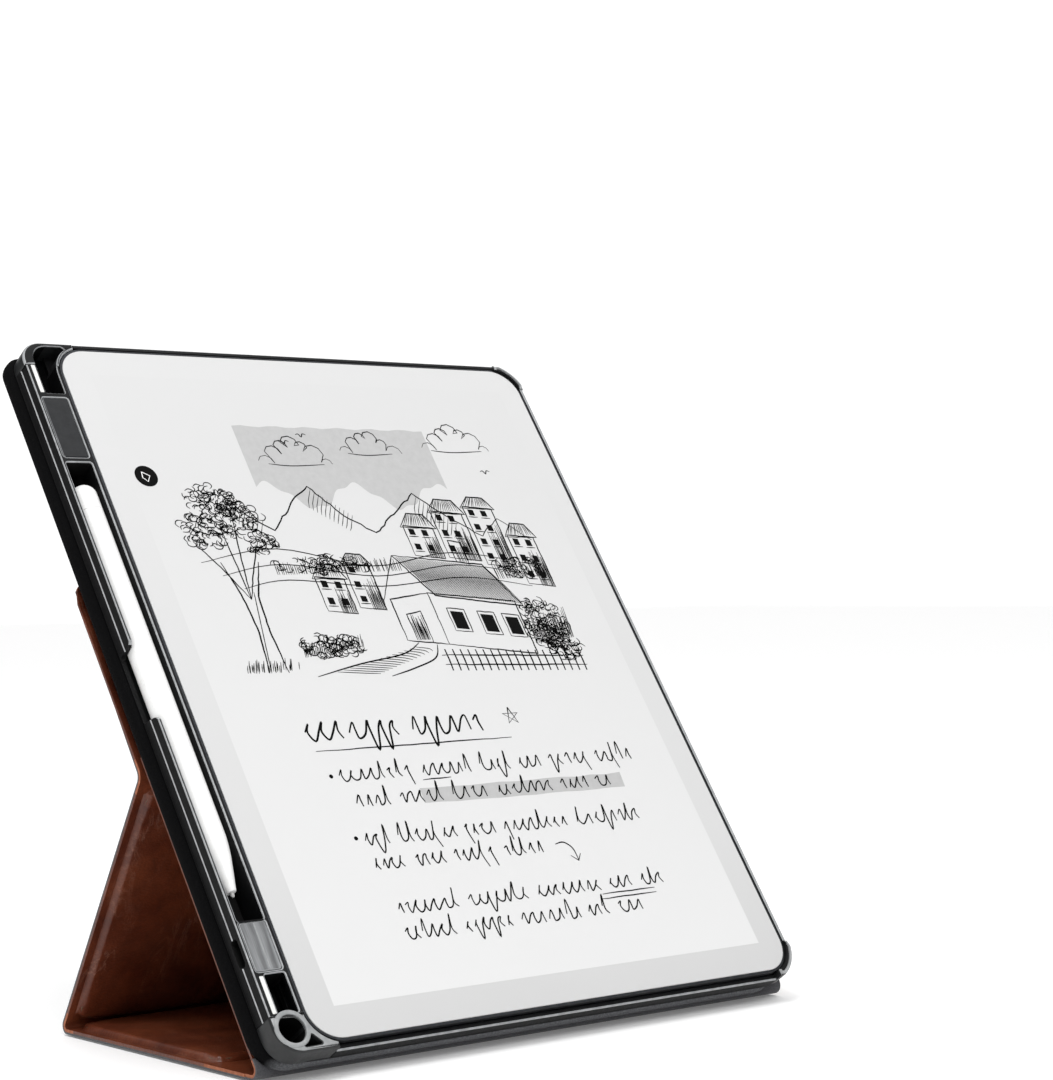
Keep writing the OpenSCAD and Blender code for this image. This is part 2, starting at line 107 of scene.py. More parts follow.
wall_lo, wall_hi = reader_box("holder_wall")
rib_lo, rib_hi = reader_box("holder_rib")
floor_lo, floor_hi = reader_box("holder_floor")
tray_lo, tray_hi = reader_box("shell_tray")
board_lo, board_hi = reader_box("back_board")
bumper_lo, bumper_hi = reader_box("bumper_top_right")
flap_lo, flap_hi = reader_box("back_flap")
ring_lo, ring_hi = reader_box("corner_bottom_left")
holder_x, channel_l, channel_r, bay = wall_lo.x, wall_hi.x, rib_lo.x, -rib_hi.x
seam_lo, seam_hi = wall_lo.y, wall_hi.y
case_lo, case_hi, case_right, soft_x = ring_lo.y, tray_hi.y, tray_hi.x, board_lo.x
case_wall = 1.6                   # the case's wall at the top and the bottom of the reader
bay_lo, bay_hi, bay_r = case_lo + case_wall, case_hi - case_wall, 11.0
arm_l, arm_r = ring_hi.x, bumper_lo.x
deep, under_z, tray_z, back_z = floor_hi.z, floor_lo.z, tray_lo.z, board_lo.z


# ---------- shapes ----------

def outline(corners, steps=7):
    """Closed outline through corners (x, y, radius), anticlockwise."""
    points = []
    for i, (x, y, r) in enumerate(corners):
        p = Vector((x, y))
        a = Vector(corners[i - 1][:2]) - p
        b = Vector(corners[(i + 1) % len(corners)][:2]) - p
        if r <= 0:
            points.append(p)
            continue
        a.normalize(), b.normalize()
        h = a.angle(b) / 2
        mid = p + (a + b).normalized() * (r / math.sin(h))
        u, v = p + a * (r / math.tan(h)) - mid, p + b * (r / math.tan(h)) - mid
        start = math.atan2(u.y, u.x)
        sweep = (math.atan2(v.y, v.x) - start + math.pi) % (2 * math.pi) - math.pi
        for k in range(steps + 1):
            t = start + sweep * k / steps
            points.append(mid + r * Vector((math.cos(t), math.sin(t))))
    return points


def box_outline(x0, x1, y0, y1, r=0.0, steps=7):
    return outline([(x0, y0, r), (x1, y0, r), (x1, y1, r), (x0, y1, r)], steps)


def round_outline(x, y, r, steps=11, flat=0.001):
    """A circle with four very short flats."""
    return box_outline(x - r, x + r, y - r, y + r, r - flat, steps)


def arc(x, y, r, a0, a1, steps=12):
    """Sharp corners (x, y, 0) along an arc from angle a0 to a1, in degrees."""
    angles = [math.radians(a0 + (a1 - a0) * k / steps) for k in range(steps + 1)]
    return [(x + r * math.cos(a), y + r * math.sin(a), 0) for a in angles]


def inset(points, by, weight=None):
    """The outline moved inwards; weight(p) gives the share of it along x and y."""
    out = []
    for i, p in enumerate(points):
        a, b = p - points[i - 1], points[(i + 1) % len(points)] - p
        na, nb = Vector((-a.y, a.x)).normalized(), Vector((-b.y, b.x)).normalized()
        m = (na + nb) * (by / max(0.4, 1 + na.dot(nb)))
        wx, wy = weight(p) if weight else (1, 1)
        out.append(p + Vector((m.x * wx, m.y * wy)))
    return out


def solid(outer, profile, holes=(), weight=None):
    """Closed plate with its outline at each (inset, z) of the profile, from the lowest up.
    A hole is (outline, profile, through); one that isn't through ends in a flat floor."""
    verts, faces, tops, bottoms = [], [], [], []

    def cap(rings):
        index = [i for r in rings for i in r]
        loops = [[Vector(verts[i]) for i in r] for r in rings]
        faces.extend(tuple(index[k] for k in t) for t in tessellate_polygon(loops))

    for n, (points, levels, through) in enumerate([(outer, profile, True), *holes]):
        rings = []
        for by, z in levels:
            first = len(verts)
            ring = inset(points, by, None if n else weight)
            verts.extend((p.x, p.y, z) for p in ring)
            rings.append(list(range(first, len(verts))))
        for a, b in zip(rings, rings[1:]):
            faces.extend((a[i - 1], a[i], b[i], b[i - 1]) for i in range(len(a)))
        tops.append(rings[-1])
        if through:
            bottoms.append(rings[0])
        else:
            cap([rings[0]])
    cap(tops)
    cap(bottoms)
    return verts, faces


def bored(z, edge=0.4):
    """Profile of a straight hole with a rounded mouth, from its floor to z = 0."""
    return [(0, z), (0, -edge), (-0.3 * edge, -0.3 * edge), (-edge, 0)]


def turned(profile, steps=48):
    """Closed body of revolution about z; its (radius, z) points start and end on the axis."""
    verts, faces, rings = [], [], []
    for r, z in profile:
        if r == 0:
            rings.append([len(verts)])
            verts.append((0, 0, z))
            continue
        rings.append(list(range(len(verts), len(verts) + steps)))
        turns = [2 * math.pi * k / steps for k in range(steps)]
        verts.extend((r * math.cos(a), r * math.sin(a), z) for a in turns)
    for a, b in zip(rings, rings[1:]):
        for i in range(steps):
            j = (i + 1) % steps
            q = [a[i % len(a)], a[j % len(a)], b[j % len(b)], b[i % len(b)]]
            faces.append(tuple(dict.fromkeys(q)))
    return verts, faces


def mesh_object(name, verts, faces, place=Matrix.Identity(4)):
    mesh = bpy.data.meshes.new(name)
    mesh.from_pydata([place @ Vector(v) for v in verts], [], faces)
    bm = bmesh.new()
    bm.from_mesh(mesh)
    bmesh.ops.recalc_face_normals(bm, faces=bm.faces[:])
    bm.to_mesh(mesh)
    bm.free()
    obj = bpy.data.objects.new(name, mesh)
    bpy.context.scene.collection.objects.link(obj)
    return obj


def carve(obj, cutters, place):
    """Cuts closed bodies, given as (verts, faces), out of an object."""
    made = [mesh_object("cutter", v, f, place) for v, f in cutters]
    for cutter in made:
        m = obj.modifiers.new("cut", "BOOLEAN")
        m.operation, m.solver, m.object = "DIFFERENCE", "EXACT", cutter
    bpy.context.view_layer.update()
    evaluated = obj.evaluated_get(bpy.context.evaluated_depsgraph_get())
    obj.data = bpy.data.meshes.new_from_object(evaluated)
    obj.modifiers.clear()
    for cutter in made:
        bpy.data.objects.remove(cutter)


def piece(name, shape, place, mats, slot, body=None, flat=None, stands_for=(), cutters=(),
          paint=None, sharp=35):
    """A visible piece: mesh, pattern coordinates in "flat" (mm), materials and body; the slot
    argument is not used.
    paint(middle, normal) picks the material of a face."""
    obj = mesh_object(name, *shape, place)
    if cutters:
        carve(obj, cutters, place)
    mesh = obj.data
    mesh.name = name
    back = place.inverted()
    turn = back.to_3x3().normalized()
    local = [back @ v.co for v in mesh.vertices]
    at = mesh.attributes.new("flat", "FLOAT_VECTOR", "POINT")
    at.data.foreach_set("vector", [x for v in (flat or local) for x in v])
    for m in mats:
        mesh.materials.append(m)
    for p in mesh.polygons:
        p.use_smooth = True
        if paint:
            mid = sum((local[i] for i in p.vertices), Vector()) / len(p.vertices)
            p.material_index = paint(mid, turn @ p.normal)
    bm = bmesh.new()
    bm.from_mesh(mesh)
    limit = math.radians(sharp)
    for e in bm.edges:
        e.smooth = len(e.link_faces) == 2 and e.calc_face_angle(0) < limit
    bm.to_mesh(mesh)
    bm.free()
    obj.modifiers.new("normals", "WEIGHTED_NORMAL").keep_sharp = True
    if body:
        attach(obj, body)
    if stands_for:
        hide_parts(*stands_for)
    return obj


def on_reader(name, shape, mats, slot, body, **more):
    """A piece made in reader axes."""
    return piece(name, shape, READER, mats, slot, body, **more)


def soften(obj, width):
    """Small rounded edges, as on a machined part."""
    weld = obj.modifiers.new("weld", "WELD")
    weld.merge_threshold = 0.000002
    bevel = obj.modifiers.new("round", "BEVEL")
    bevel.width, bevel.segments, bevel.limit_method = width * MM, 2, "ANGLE"
    bevel.angle_limit = math.radians(40)
    obj.modifiers.new("normals", "WEIGHTED_NORMAL").keep_sharp = False


# ---------- materials ----------

def rgb(code):
    """A colour such as "7a3f2b" as linear red, green, blue, alpha."""
    v = [int(code[i:i + 2], 16) / 255 for i in (0, 2, 4)]
    return (*[x / 12.92 if x <= 0.04045 else ((x + 0.055) / 1.055) ** 2.4 for x in v], 1)


def as_colour(value):
    return rgb(value) if isinstance(value, str) else value


class Paint:
    """A procedural material. Its patterns lie in mm on the piece: in the mesh's own "flat"
    coordinates, or in object space on a CAD node. Other sockets are given by name."""

    def __init__(self, name, rough, spec=0.5, metal=0.0, on_cad=False, **sockets):
        self.mat = bpy.data.materials.new(name)
        self.mat.use_nodes = True
        self.tree = self.mat.node_tree
        self.shader = self.tree.nodes["Principled BSDF"]
        values = {"Roughness": rough, "Metallic": metal, "Specular IOR Level": spec, **sockets}
        for k, v in values.items():
            self.shader.inputs[k.replace("_", " ")].default_value = v
        if on_cad:
            coords = self.node("ShaderNodeTexCoord").outputs["Object"]
            scale = self.node("ShaderNodeVectorMath", operation="SCALE")
            scale.inputs["Scale"].default_value = 1 / MM
            self.link(coords, scale.inputs[0])
            self.place = scale.outputs[0]
        else:
            where = self.node("ShaderNodeAttribute", attribute_name="flat")
            self.place = where.outputs["Vector"]

    def node(self, kind, **props):
        n = self.tree.nodes.new(kind)
        for k, v in props.items():
            setattr(n, k, v)
        return n

    def link(self, a, b):
        self.tree.links.new(a, b)

    def feed(self, socket, value):
        if hasattr(value, "is_output"):
            self.link(value, socket)
        else:
            socket.default_value = value

    def stretched(self, by):
        n = self.node("ShaderNodeVectorMath", operation="MULTIPLY")
        self.link(self.place, n.inputs[0])
        n.inputs[1].default_value = by
        return n.outputs[0]

    def noise(self, scale, detail=3.0, rough=0.5, by=None, twist=0.0, seed=0.0):
        n = self.node("ShaderNodeTexNoise", noise_dimensions="4D")
        self.link(self.stretched(by) if by else self.place, n.inputs["Vector"])
        for k, v in (("Scale", scale), ("Detail", detail), ("Roughness", rough),
                     ("Distortion", twist), ("W", seed)):
            n.inputs[k].default_value = v
        return n.outputs["Fac"]

    def cells(self, scale):
        n = self.node("ShaderNodeTexVoronoi")
        self.link(self.place, n.inputs["Vector"])
        n.inputs["Scale"].default_value = scale
        return n.outputs["Distance"]

    def ramp(self, value, *stops):
        n = self.node("ShaderNodeValToRGB")
        while len(n.color_ramp.elements) < len(stops):
            n.color_ramp.elements.new(0.5)
        for e, (at, colour) in zip(n.color_ramp.elements, stops):
            e.position = at
            e.color = rgb(colour) if isinstance(colour, str) else (colour,) * 3 + (1,)
        self.link(value, n.inputs[0])
        return n.outputs["Color"]

    def mix(self, share, a, b):
        n = self.node("ShaderNodeMix", data_type="RGBA")
        for socket, value in ((0, share), (6, a), (7, b)):
            self.feed(n.inputs[socket], as_colour(value))
        return n.outputs[2]

    def calc(self, how, a, b=0.0, c=0.0):
        n = self.node("ShaderNodeMath", operation=how)
        for socket, value in zip(n.inputs, (a, b, c)):
            self.feed(socket, value)
        return n.outputs[0]

    def times(self, a, b):
        return self.calc("MULTIPLY", a, b)

    def plus(self, a, b):
        return self.calc("ADD", a, b)

    def part(self, axis):
        n = self.node("ShaderNodeSeparateXYZ")
        self.link(self.place, n.inputs[0])
        return n.outputs[axis]

    def colour(self, value):
        self.feed(self.shader.inputs["Base Color"], value)

    def gloss(self, value):
        self.link(value, self.shader.inputs["Roughness"])

    def relief(self, height, distance, strength=1.0):
        n = self.node("ShaderNodeBump")
        n.inputs["Strength"].default_value = strength
        n.inputs["Distance"].default_value = distance * MM
        self.link(height, n.inputs["Height"])
        old = self.shader.inputs["Normal"].links
        if old:
            self.link(old[0].from_socket, n.inputs["Normal"])
        self.link(n.outputs[0], self.shader.inputs["Normal"])


def moulded(name, dark, light, rough=0.42, grain=0.02, spec=0.5, streak=None, **more):
    """Moulded plastic: fine spark texture, faint mottling, uneven gloss."""
    p = Paint(name, rough, spec, **more)
    p.colour(p.ramp(p.noise(0.35, 4, 0.6, by=streak), (0.3, dark), (0.72, light)))
    p.gloss(p.ramp(p.noise(1.7, 3), (0.25, rough - 0.08), (0.8, rough + 0.1)))
    p.relief(p.noise(4.5, 2, 0.6), grain)
    return p.mat


def metal(name, dark, light, rough=0.35):
    """Bead-blasted or plated metal with faint streaks, on a CAD node."""
    p = Paint(name, rough, metal=1.0, on_cad=True)
    p.colour(p.ramp(p.noise(0.9, 4, 0.6, by=(0.25, 1, 1)), (0.3, dark), (0.75, light)))
    p.gloss(p.ramp(p.noise(2.4, 3), (0.2, rough - 0.06), (0.8, rough + 0.08)))
    p.relief(p.noise(7, 2, 0.6), 0.01)
    return p.mat


def leather_mat():
    """Waxed chestnut leather: cloudy colour, pale creases, fine grain."""
    p = Paint("leather_chestnut", 0.45, 0.33, Coat_Weight=0.18, Coat_Roughness=0.3)
    cloud = p.noise(0.032, 5, 0.62, twist=0.6)
    base = p.ramp(cloud, (0.28, "3c190d"), (0.45, "5b2817"), (0.58, "723820"), (0.75, "874a31"))
    patch = p.ramp(p.noise(0.11, 5, 0.6, seed=3), (0.35, 0.0), (0.7, 1.0))
    base = p.mix(p.times(patch, 0.35), base, "925034")
    stain = p.noise(0.07, 6, 0.68, by=(1.2, 0.6, 1), seed=7, twist=1.2)
    base = p.mix(p.times(p.ramp(stain, (0.56, 0.0), (0.7, 1.0)), 0.5), base, "3b150c")
    veins = p.noise(0.075, 6, 0.66, by=(1.5, 0.42, 1), seed=11, twist=1.5)
    crease = p.ramp(p.calc("ABSOLUTE", p.calc("SUBTRACT", veins, 0.5)),
                    (0.0, 1.0), (0.012, 0.55), (0.03, 0.0))
    where = p.ramp(p.noise(0.045, 4, 0.6, by=(1.6, 0.5, 1), seed=5), (0.52, 0.0), (0.68, 1.0))
    speck = p.ramp(p.noise(2.2, 3, 0.7, seed=2), (0.38, 0.0), (0.6, 1.0))
    pale = p.times(p.times(crease, where), p.calc("MULTIPLY_ADD", speck, 0.7, 0.3))
    base = p.mix(p.times(pale, 0.6), base, "b27f66")
    dust = p.ramp(p.noise(0.9, 5, 0.75, by=(1.4, 0.7, 1), seed=9), (0.6, 0.0), (0.74, 1.0))
    base = p.mix(p.times(p.times(dust, where), 0.28), base, "a8704f")
    pores = p.cells(1.5)
    base = p.mix(p.ramp(pores, (0.35, 0.0), (0.75, 0.22)), base, "3d1a10")
    p.colour(base)
    uneven = p.ramp(p.noise(0.09, 5, 0.6, seed=4), (0.3, 0.32), (0.7, 0.46))
    p.gloss(p.plus(uneven, p.times(pale, 0.12)))
    p.relief(p.noise(0.16, 5, 0.6, seed=8), 0.5, 0.5)
    p.relief(pale, 0.12)
    p.relief(pores, 0.09, 0.6)
    p.relief(p.noise(3.2, 3, 0.6), 0.03)
    return p.mat


def leather_edge_mat():
    """Cut edge of the leather: paler and rougher than its face."""
    p = Paint("leather_cut_edge", 0.75)
    p.colour(p.ramp(p.noise(1.6, 4, 0.7), (0.3, "8a4a30"), (0.55, "b06c4c"), (0.8, "c88c6c")))
    p.relief(p.noise(3.0, 4, 0.7, by=(1, 1, 4)), 0.08)
    return p.mat


def cloth_mat(name, dark, light, on_cad=False):
    """Microfibre: very fine nap, soft sheen."""
    p = Paint(name, 0.92, 0.15, on_cad=on_cad, Sheen_Weight=0.35, Sheen_Roughness=0.5)
    nap = p.noise(3.6, 5, 0.72, by=(1, 0.7, 1))
    p.colour(p.mix(p.ramp(nap, (0.35, 0.0), (0.7, 1.0)), dark, light))
    p.relief(nap, 0.07)
    p.relief(p.noise(0.25, 4, 0.6), 0.12)
    return p.mat


def soft_back_mat():
    """Coated cloth over a padded board: fine plain weave, black, with painted light making its
    lower side paler.
    """
    p = Paint("back_soft_cloth", 0.85, 0.06)
    weave = p.times(p.calc("SINE", p.times(p.part(0), 9.0)),
                    p.calc("SINE", p.times(p.plus(p.part(1), p.part(2)), 9.0)))
    fuzz = p.noise(1.9, 5, 0.75)
    dark = p.ramp(fuzz, (0.35, "060607"), (0.55, "0b0b0c"), (0.78, "171718"))
    light = p.ramp(fuzz, (0.35, "4a4b4d"), (0.55, "6a6b6e"), (0.78, "96979a"))
    # Painted light: the lower side fades to the grey tone, standing in for the floor's light on it.
    lower_side_painted_light = p.ramp(p.times(p.plus(p.part(1), 4.0), 0.1), (0.15, 1.0), (0.45, 0.0))
    p.colour(p.mix(lower_side_painted_light, dark, light))
    p.relief(weave, 0.03, 0.6)
    p.relief(fuzz, 0.08)
    return p.mat


def screen_mat():
    """Matt e-paper behind etched glass, with the paler display inside the bezel; painted shade
    makes the bezel darker towards the bottom and the display darker towards the top.
    """
    p = Paint("screen_paper", 0.33, 0.35)
    bezel, blur = 9.5, 4.0        # mm; share of the change to the display's tone per mm

    def band(axis, lo, hi):
        v = p.part(axis)
        up, down = (p.times(p.calc("SUBTRACT", *ab), blur) for ab in ((v, lo), (hi, v)))
        return p.calc("MAXIMUM", p.calc("MINIMUM", p.calc("MINIMUM", up, down), 1.0), 0.0)

    inside = p.times(band(0, bezel - glass_x, glass_x - bezel), band(1, bezel, glass_h - bezel))
    # Painted shade along the screen's height, with noise in where it changes.
    height = p.calc("DIVIDE", p.plus(p.part(1), p.times(p.noise(0.02, 2), 30)), glass_h)
    bezel_tone_painted_shade = p.ramp(height, (0.0, "cccccc"), (0.3, "d5d5d5"), (1.0, "dadada"))
    height_for_painted_shade = p.plus(height, p.times(p.noise(3.0, 4, 0.7), 0.3))
    paper = p.ramp(height_for_painted_shade, (0.15, "e4e4e4"), (1.0, "d9d9d9"))
    p.colour(p.mix(inside, bezel_tone_painted_shade, paper))
    p.relief(p.noise(6.0, 2), 0.004)
    return p.mat


LEATHER = leather_mat()
CUT_EDGE = leather_edge_mat()
LINING = cloth_mat("lining_microfibre", "38383b", "56565a")
TRAY_CLOTH = cloth_mat("tray_microfibre", "2c2c2f", "47474b", on_cad=True)
BACK_CLOTH = soft_back_mat()
SHELL = moulded("case_black_plastic", "0a0a0b", "121213", 0.5, spec=0.14)
# Painted sheen: a slightly lighter, glossier copy of the black plastic for the upward front flats.
FRONT = moulded("case_front_painted_sheen", "101112", "1a1b1c", 0.45, spec=0.18)
# Painted shade: a darker copy of the black plastic for faces deep inside the pockets and the well.
DEEP_PAINTED_SHADE = moulded("case_inner_painted_shade", "060606", "0c0c0c", 0.6, spec=0.2)
# Painted highlights: pale greys for the case's chamfers, rims, steps and the corners' tops, where
# they catch the light.
EDGE_HIGHLIGHT = moulded("case_rim_painted_highlight", "8a8c8e", "b4b6b8", 0.34, 0.015)
PALE_EDGE_HIGHLIGHT = moulded("case_corner_painted_highlight", "8d8f90", "aaacad", 0.32, 0.015)
CORNER = moulded("case_corner_plastic", "1b1c1d", "292a2b", 0.36, spec=0.35)
PLATE_MID = moulded("bridge_grey_plastic", "48494b", "a0a2a4", 0.4, streak=(1.6, 0.1, 1))
PLATE_DARK = moulded("plate_grey_plastic", "262729", "303133", 0.45, spec=0.2)
# Painted highlight: near-white plastic standing in for the light caught along the pockets' edges.
POCKET_EDGE_HIGHLIGHT = moulded("inlay_white_plastic", "e4e4e2", "f6f6f4", 0.35)
SCREEN = screen_mat()
INK = moulded("screen_ink", "050505", "0c0c0c", 0.7, 0.002, 0.08)
WASH = moulded("screen_grey_wash", "b9b9b9", "c2c2c2", 0.6, 0.002)
MARK = moulded("screen_marker_grey", "b6b6b6", "c0c0c0", 0.6, 0.002)
DISC = moulded("screen_disc_white", "efefef", "fafafa", 0.5, 0.002)
# Painted light: the pen's white glows faintly, so that its shaded sides still look white.
PEN = moulded("pen_satin_white_glowing", "f0f0ef", "f9f9f8", 0.3, 0.004,
              Coat_Weight=0.2, Emission_Strength=0.1)
PEN_SEAM = moulded("pen_seam_grey", "bcbcbb", "c9c9c8", 0.4, 0.004)
NIB = moulded("pen_nib_grey", "c4c4c2", "d6d6d4", 0.5, 0.004)
# Looks of the case's plastic, in the order of moulding().
CASE_LOOKS = [SHELL, EDGE_HIGHLIGHT, DEEP_PAINTED_SHADE, FRONT]


# ---------- case ----------

def side_profile(z0, z1, step_in=0.45, edge=0.35):
    """Outer wall from low to high: a groove near the back, a step where the upper lip begins,
    and a rounded front edge."""
    return [(0, z0), (0, z0 + 0.3), (0.16, z0 + 0.42), (0, z0 + 0.62), (0, -3.85), (0.1, -3.62),
            (0.28, -3.52), (step_in, -3.46), (step_in, z1 - edge),
            (step_in + 0.3 * edge, z1 - 0.3 * edge), (step_in + edge, z1)]


def moulding(front=-0.75):
    """Looks of a moulded part, in the order side, painted edge highlight, painted shade deep
    inside, front flat with painted sheen.
    """
    ledge = -3.7                  # where the upper lip begins
    reach, bore = 8, 6.7          # a corner's centre from the case's sides; its inner radius

    def pick(mid, normal):
        off_x = max(0, holder_x + reach - mid.x)
        off_y = max(0, case_lo + reach - mid.y, mid.y - case_hi + reach)
        inside = mid.x < -bay + 0.2 and math.hypot(off_x, off_y) < bore
        # Faces deep inside a pocket or the well get the painted shade.
        if mid.z < -1.2 and inside and not (normal.x < -0.7 and mid.x > channel_r - 0.3):
            return 2
        # Upward flats get the painted sheen; upward chamfers and the step at the ledge get the
        # painted highlight.
        if mid.z > front and normal.z > 0.25:
            return 3 if normal.z > 0.97 else 1
        return 1 if ledge < mid.z < ledge + 0.3 and normal.z > 0.3 else 0
    return pick


def prism_x(points, x0, x1):
    """Closed prism along x from an outline in (y, z)."""
    verts, faces = solid(points, [(0, x0), (0, x1)])
    return [(v[2], v[0], v[1]) for v in verts], faces


port_lo, port_hi = reader_box("port_bridge")
plate_lo, plate_hi = reader_box("holder_plate")
highlight_strip_lo, highlight_strip_hi = reader_box("holder_inlays")
button_lo, button_hi = reader_box("power_button")
channel_y = (port_hi.y + 0.3, plate_lo.y - 1.9)
pocket_x = -102.2                 # left side of both pockets
clear = 1                         # how far the cutters stand out of the walls they cut
corner_c = (-bay + bay_r, bay_hi - bay_r)

# Finger notch in the outer wall, with flared ends.
notch_lo, notch_hi, notch_deep, lip = 106.8, 131.2, tray_z + 0.35, -1.5
notch_cut = prism_x(outline(
    [(notch_lo + 0.9, notch_deep, 1.2), (notch_hi - 0.9, notch_deep, 1.2), (notch_hi, lip, 2),
     (notch_hi + 1.6, 0.02, 1.5), (notch_hi + 2.6, 1.5, 0), (notch_lo - 2.6, 1.5, 0),
     (notch_lo - 1.6, 0.02, 1.5), (notch_lo, lip, 2)]), holder_x - clear, channel_l + clear)
# Pill slot in front of the reader's charging port.
port_y, slot_half = (port_lo.y + port_hi.y) / 2 - 0.3, 4.4
slot_cut = prism_x(box_outline(port_y - slot_half, port_y + slot_half, -4.45, -1.75, 1.34),
                   holder_x - clear, -bay + clear)
# Top pocket, which goes on into the corner piece.
top_pocket = outline([(pocket_x, plate_hi.y + 1.8, 0.6), (channel_r, plate_hi.y + 1.8, 0.6),
                      *arc(*corner_c, bay_r + 1.1, 180, 122), (-90.9, 243.7, 0.6),
                      (pocket_x, 243.6, 6)])
top_pocket_cut = solid(top_pocket, [(0, deep), (0, -0.3), (-0.1, -0.1), (-0.3, 0.05), (-0.3, 2)])
low_pocket = box_outline(pocket_x, channel_r, 9.5, 21.8, 0.7)
# Opening in the rib for the power button.
button_y, button_half = (button_lo.y + button_hi.y) / 2, 5.5
button_cut = solid(box_outline(channel_r - clear, -bay + clear, button_y - button_half,
                               button_y + button_half, 0.5), [(0, deep), (0, button_hi.z + 0.4)])


def holder_weight(p):
    """The outer wall is stepped; the side at the reader and the seams stay nearly straight."""
    return (1 if p.x < channel_l else 0.1, 0.35)


def channel_hole(y0, y1, r, z):
    return box_outline(channel_l, channel_r, y0, y1, r), bored(z), False


back_edge = [(0.7, under_z), (0.7, tray_z - 0.1)]
on_reader("holder_body", solid(
    box_outline(holder_x, -bay, seam_lo, seam_hi),
    [*back_edge, (0.2, tray_z + 0.05), *side_profile(tray_z + 0.3, 0)], weight=holder_weight,
    holes=[channel_hole(*channel_y, 0.8, deep), (low_pocket, bored(deep), False),
           channel_hole(port_lo.y, port_hi.y, 0.9, port_lo.z),
           channel_hole(plate_lo.y, plate_hi.y, 0.9, plate_lo.z)]),
    CASE_LOOKS, "case_shell", "case",
    stands_for=("holder_wall", "holder_rib", "holder_floor", "holder_blocks"),
    cutters=[notch_cut, slot_cut, top_pocket_cut, button_cut], paint=moulding())

# Left-hand corner pieces; the lower one has a round well with a rim, and a small triangle.
bottom_corner = [(holder_x, seam_lo, 0.3), (holder_x, case_lo, 8), (arm_l, case_lo, 0.5),
                 *arc(corner_c[0], bay_lo + bay_r, bay_r, 254.2, 185.2)]
top_corner = [(holder_x, seam_hi, 0.3), *arc(*corner_c, bay_r, 160.9, 106.1),
              (arm_l, case_hi, 0.5), (holder_x, case_hi, 8)]
well = ((channel_l + channel_r) / 2, 4.7)
circle = round_outline(*well, 4.3)
triangle = outline([(-98.4, -0.95, 0.35), (-91.6, -0.85, 0.35), (-94.4, 2.3, 0.35)], 4)
corner_top = 0.3                  # how far the corner pieces stand over the holder
corner_levels = [*back_edge, (0.15, tray_z + 0.02), (0, tray_z + 0.3), (0, -0.5), (0.22, -0.08),
                 (0.55, 0.2), (1.0, corner_top)]


def corner_weight(p):
    """Full edges, but nearly straight at the seam with the holder."""
    at_seam = seam_lo - 0.2 < p.y < seam_hi + 0.2 and abs(p.x) > bay
    return (1, 0.35 if at_seam else 1)


def corner_hole(points, z):
    return points, [(d, h if h < -1 else h + corner_top) for d, h in bored(z)], False


# Painted light on the corner caps: the lower cap's top flats are pale grey and the upper cap's
# chamfers the edge grey, as highlights; faces deep in the well and the pocket are darker, as shade.
on_reader("corner_bottom_left_cap", solid(
    outline(bottom_corner, 14), corner_levels, weight=corner_weight,
    holes=[corner_hole(circle, deep + 0.1), corner_hole(triangle, -4)]),
    [CORNER, CORNER, DEEP_PAINTED_SHADE, PALE_EDGE_HIGHLIGHT], "case_corner", "case",
    stands_for=("corner_bottom_left",), paint=moulding())
# The well's rim ring is pale grey all over, a painted highlight.
on_reader("corner_well_rim", solid(
    round_outline(*well, 5.7), [(0, -0.6), (0, 0.25), (0.12, 0.48), (0.4, 0.58)],
    holes=[(circle, [(0, -0.6), (0, 0.3), (-0.1, 0.48), (-0.35, 0.58)], True)]),
    [PALE_EDGE_HIGHLIGHT], "case_corner", "case")
on_reader("corner_top_left_cap", solid(
    outline(top_corner, 14), corner_levels, weight=corner_weight),
    [CORNER, *CASE_LOOKS[1:]], "case_corner", "case",
    stands_for=("corner_top_left",), cutters=[top_pocket_cut], paint=moulding())

# Right-hand bumpers.
bumper_levels = [(1.0, tray_z), (0.35, tray_z + 0.25), (0, tray_z + 0.9), (0, -0.2), (0.1, 0.2),
                 (0.35, 0.48), (0.7, 0.6), (1.0, 0.5), (1.15, 0.06)]
case_r = 13                       # radius of the case's outer corners
right_x = bay - bay_r             # centre of the reader's right-hand corners
grow = bumper_hi.x - case_right   # how far a bumper stands out of the case


def bumper_weight(p):
    """The side at the reader stays straight."""
    centre_y = corner_c[1] if p.y > case_hi / 2 else bay_lo + bay_r
    inside = math.hypot(p.x - right_x, p.y - centre_y) < bay_r + 0.3
    return (0, 0) if inside else (1, 1)


# Painted highlight: the bumper's upward crown is pale grey; its low flats are the lighter front
# black, a painted sheen.
def bumper_paint(mid, normal):
    if mid.z > 0.15 and normal.z > 0.25:
        return 1
    return 2 if mid.z > -0.3 and normal.z > 0.9 else 0


def swollen(y, first, last, steps=20):
    """Outer side of a bumper around a right-hand corner of the case, thickest in the middle."""
    points = []
    for k in range(steps + 1):
        a = math.radians(first + (last - first) * k / steps)
        r = case_r + grow * min(1, 0.25 + 3 * math.sin(math.pi * k / steps))
        points.append((case_right - case_r + r * math.cos(a), y + r * math.sin(a), 0))
    return points


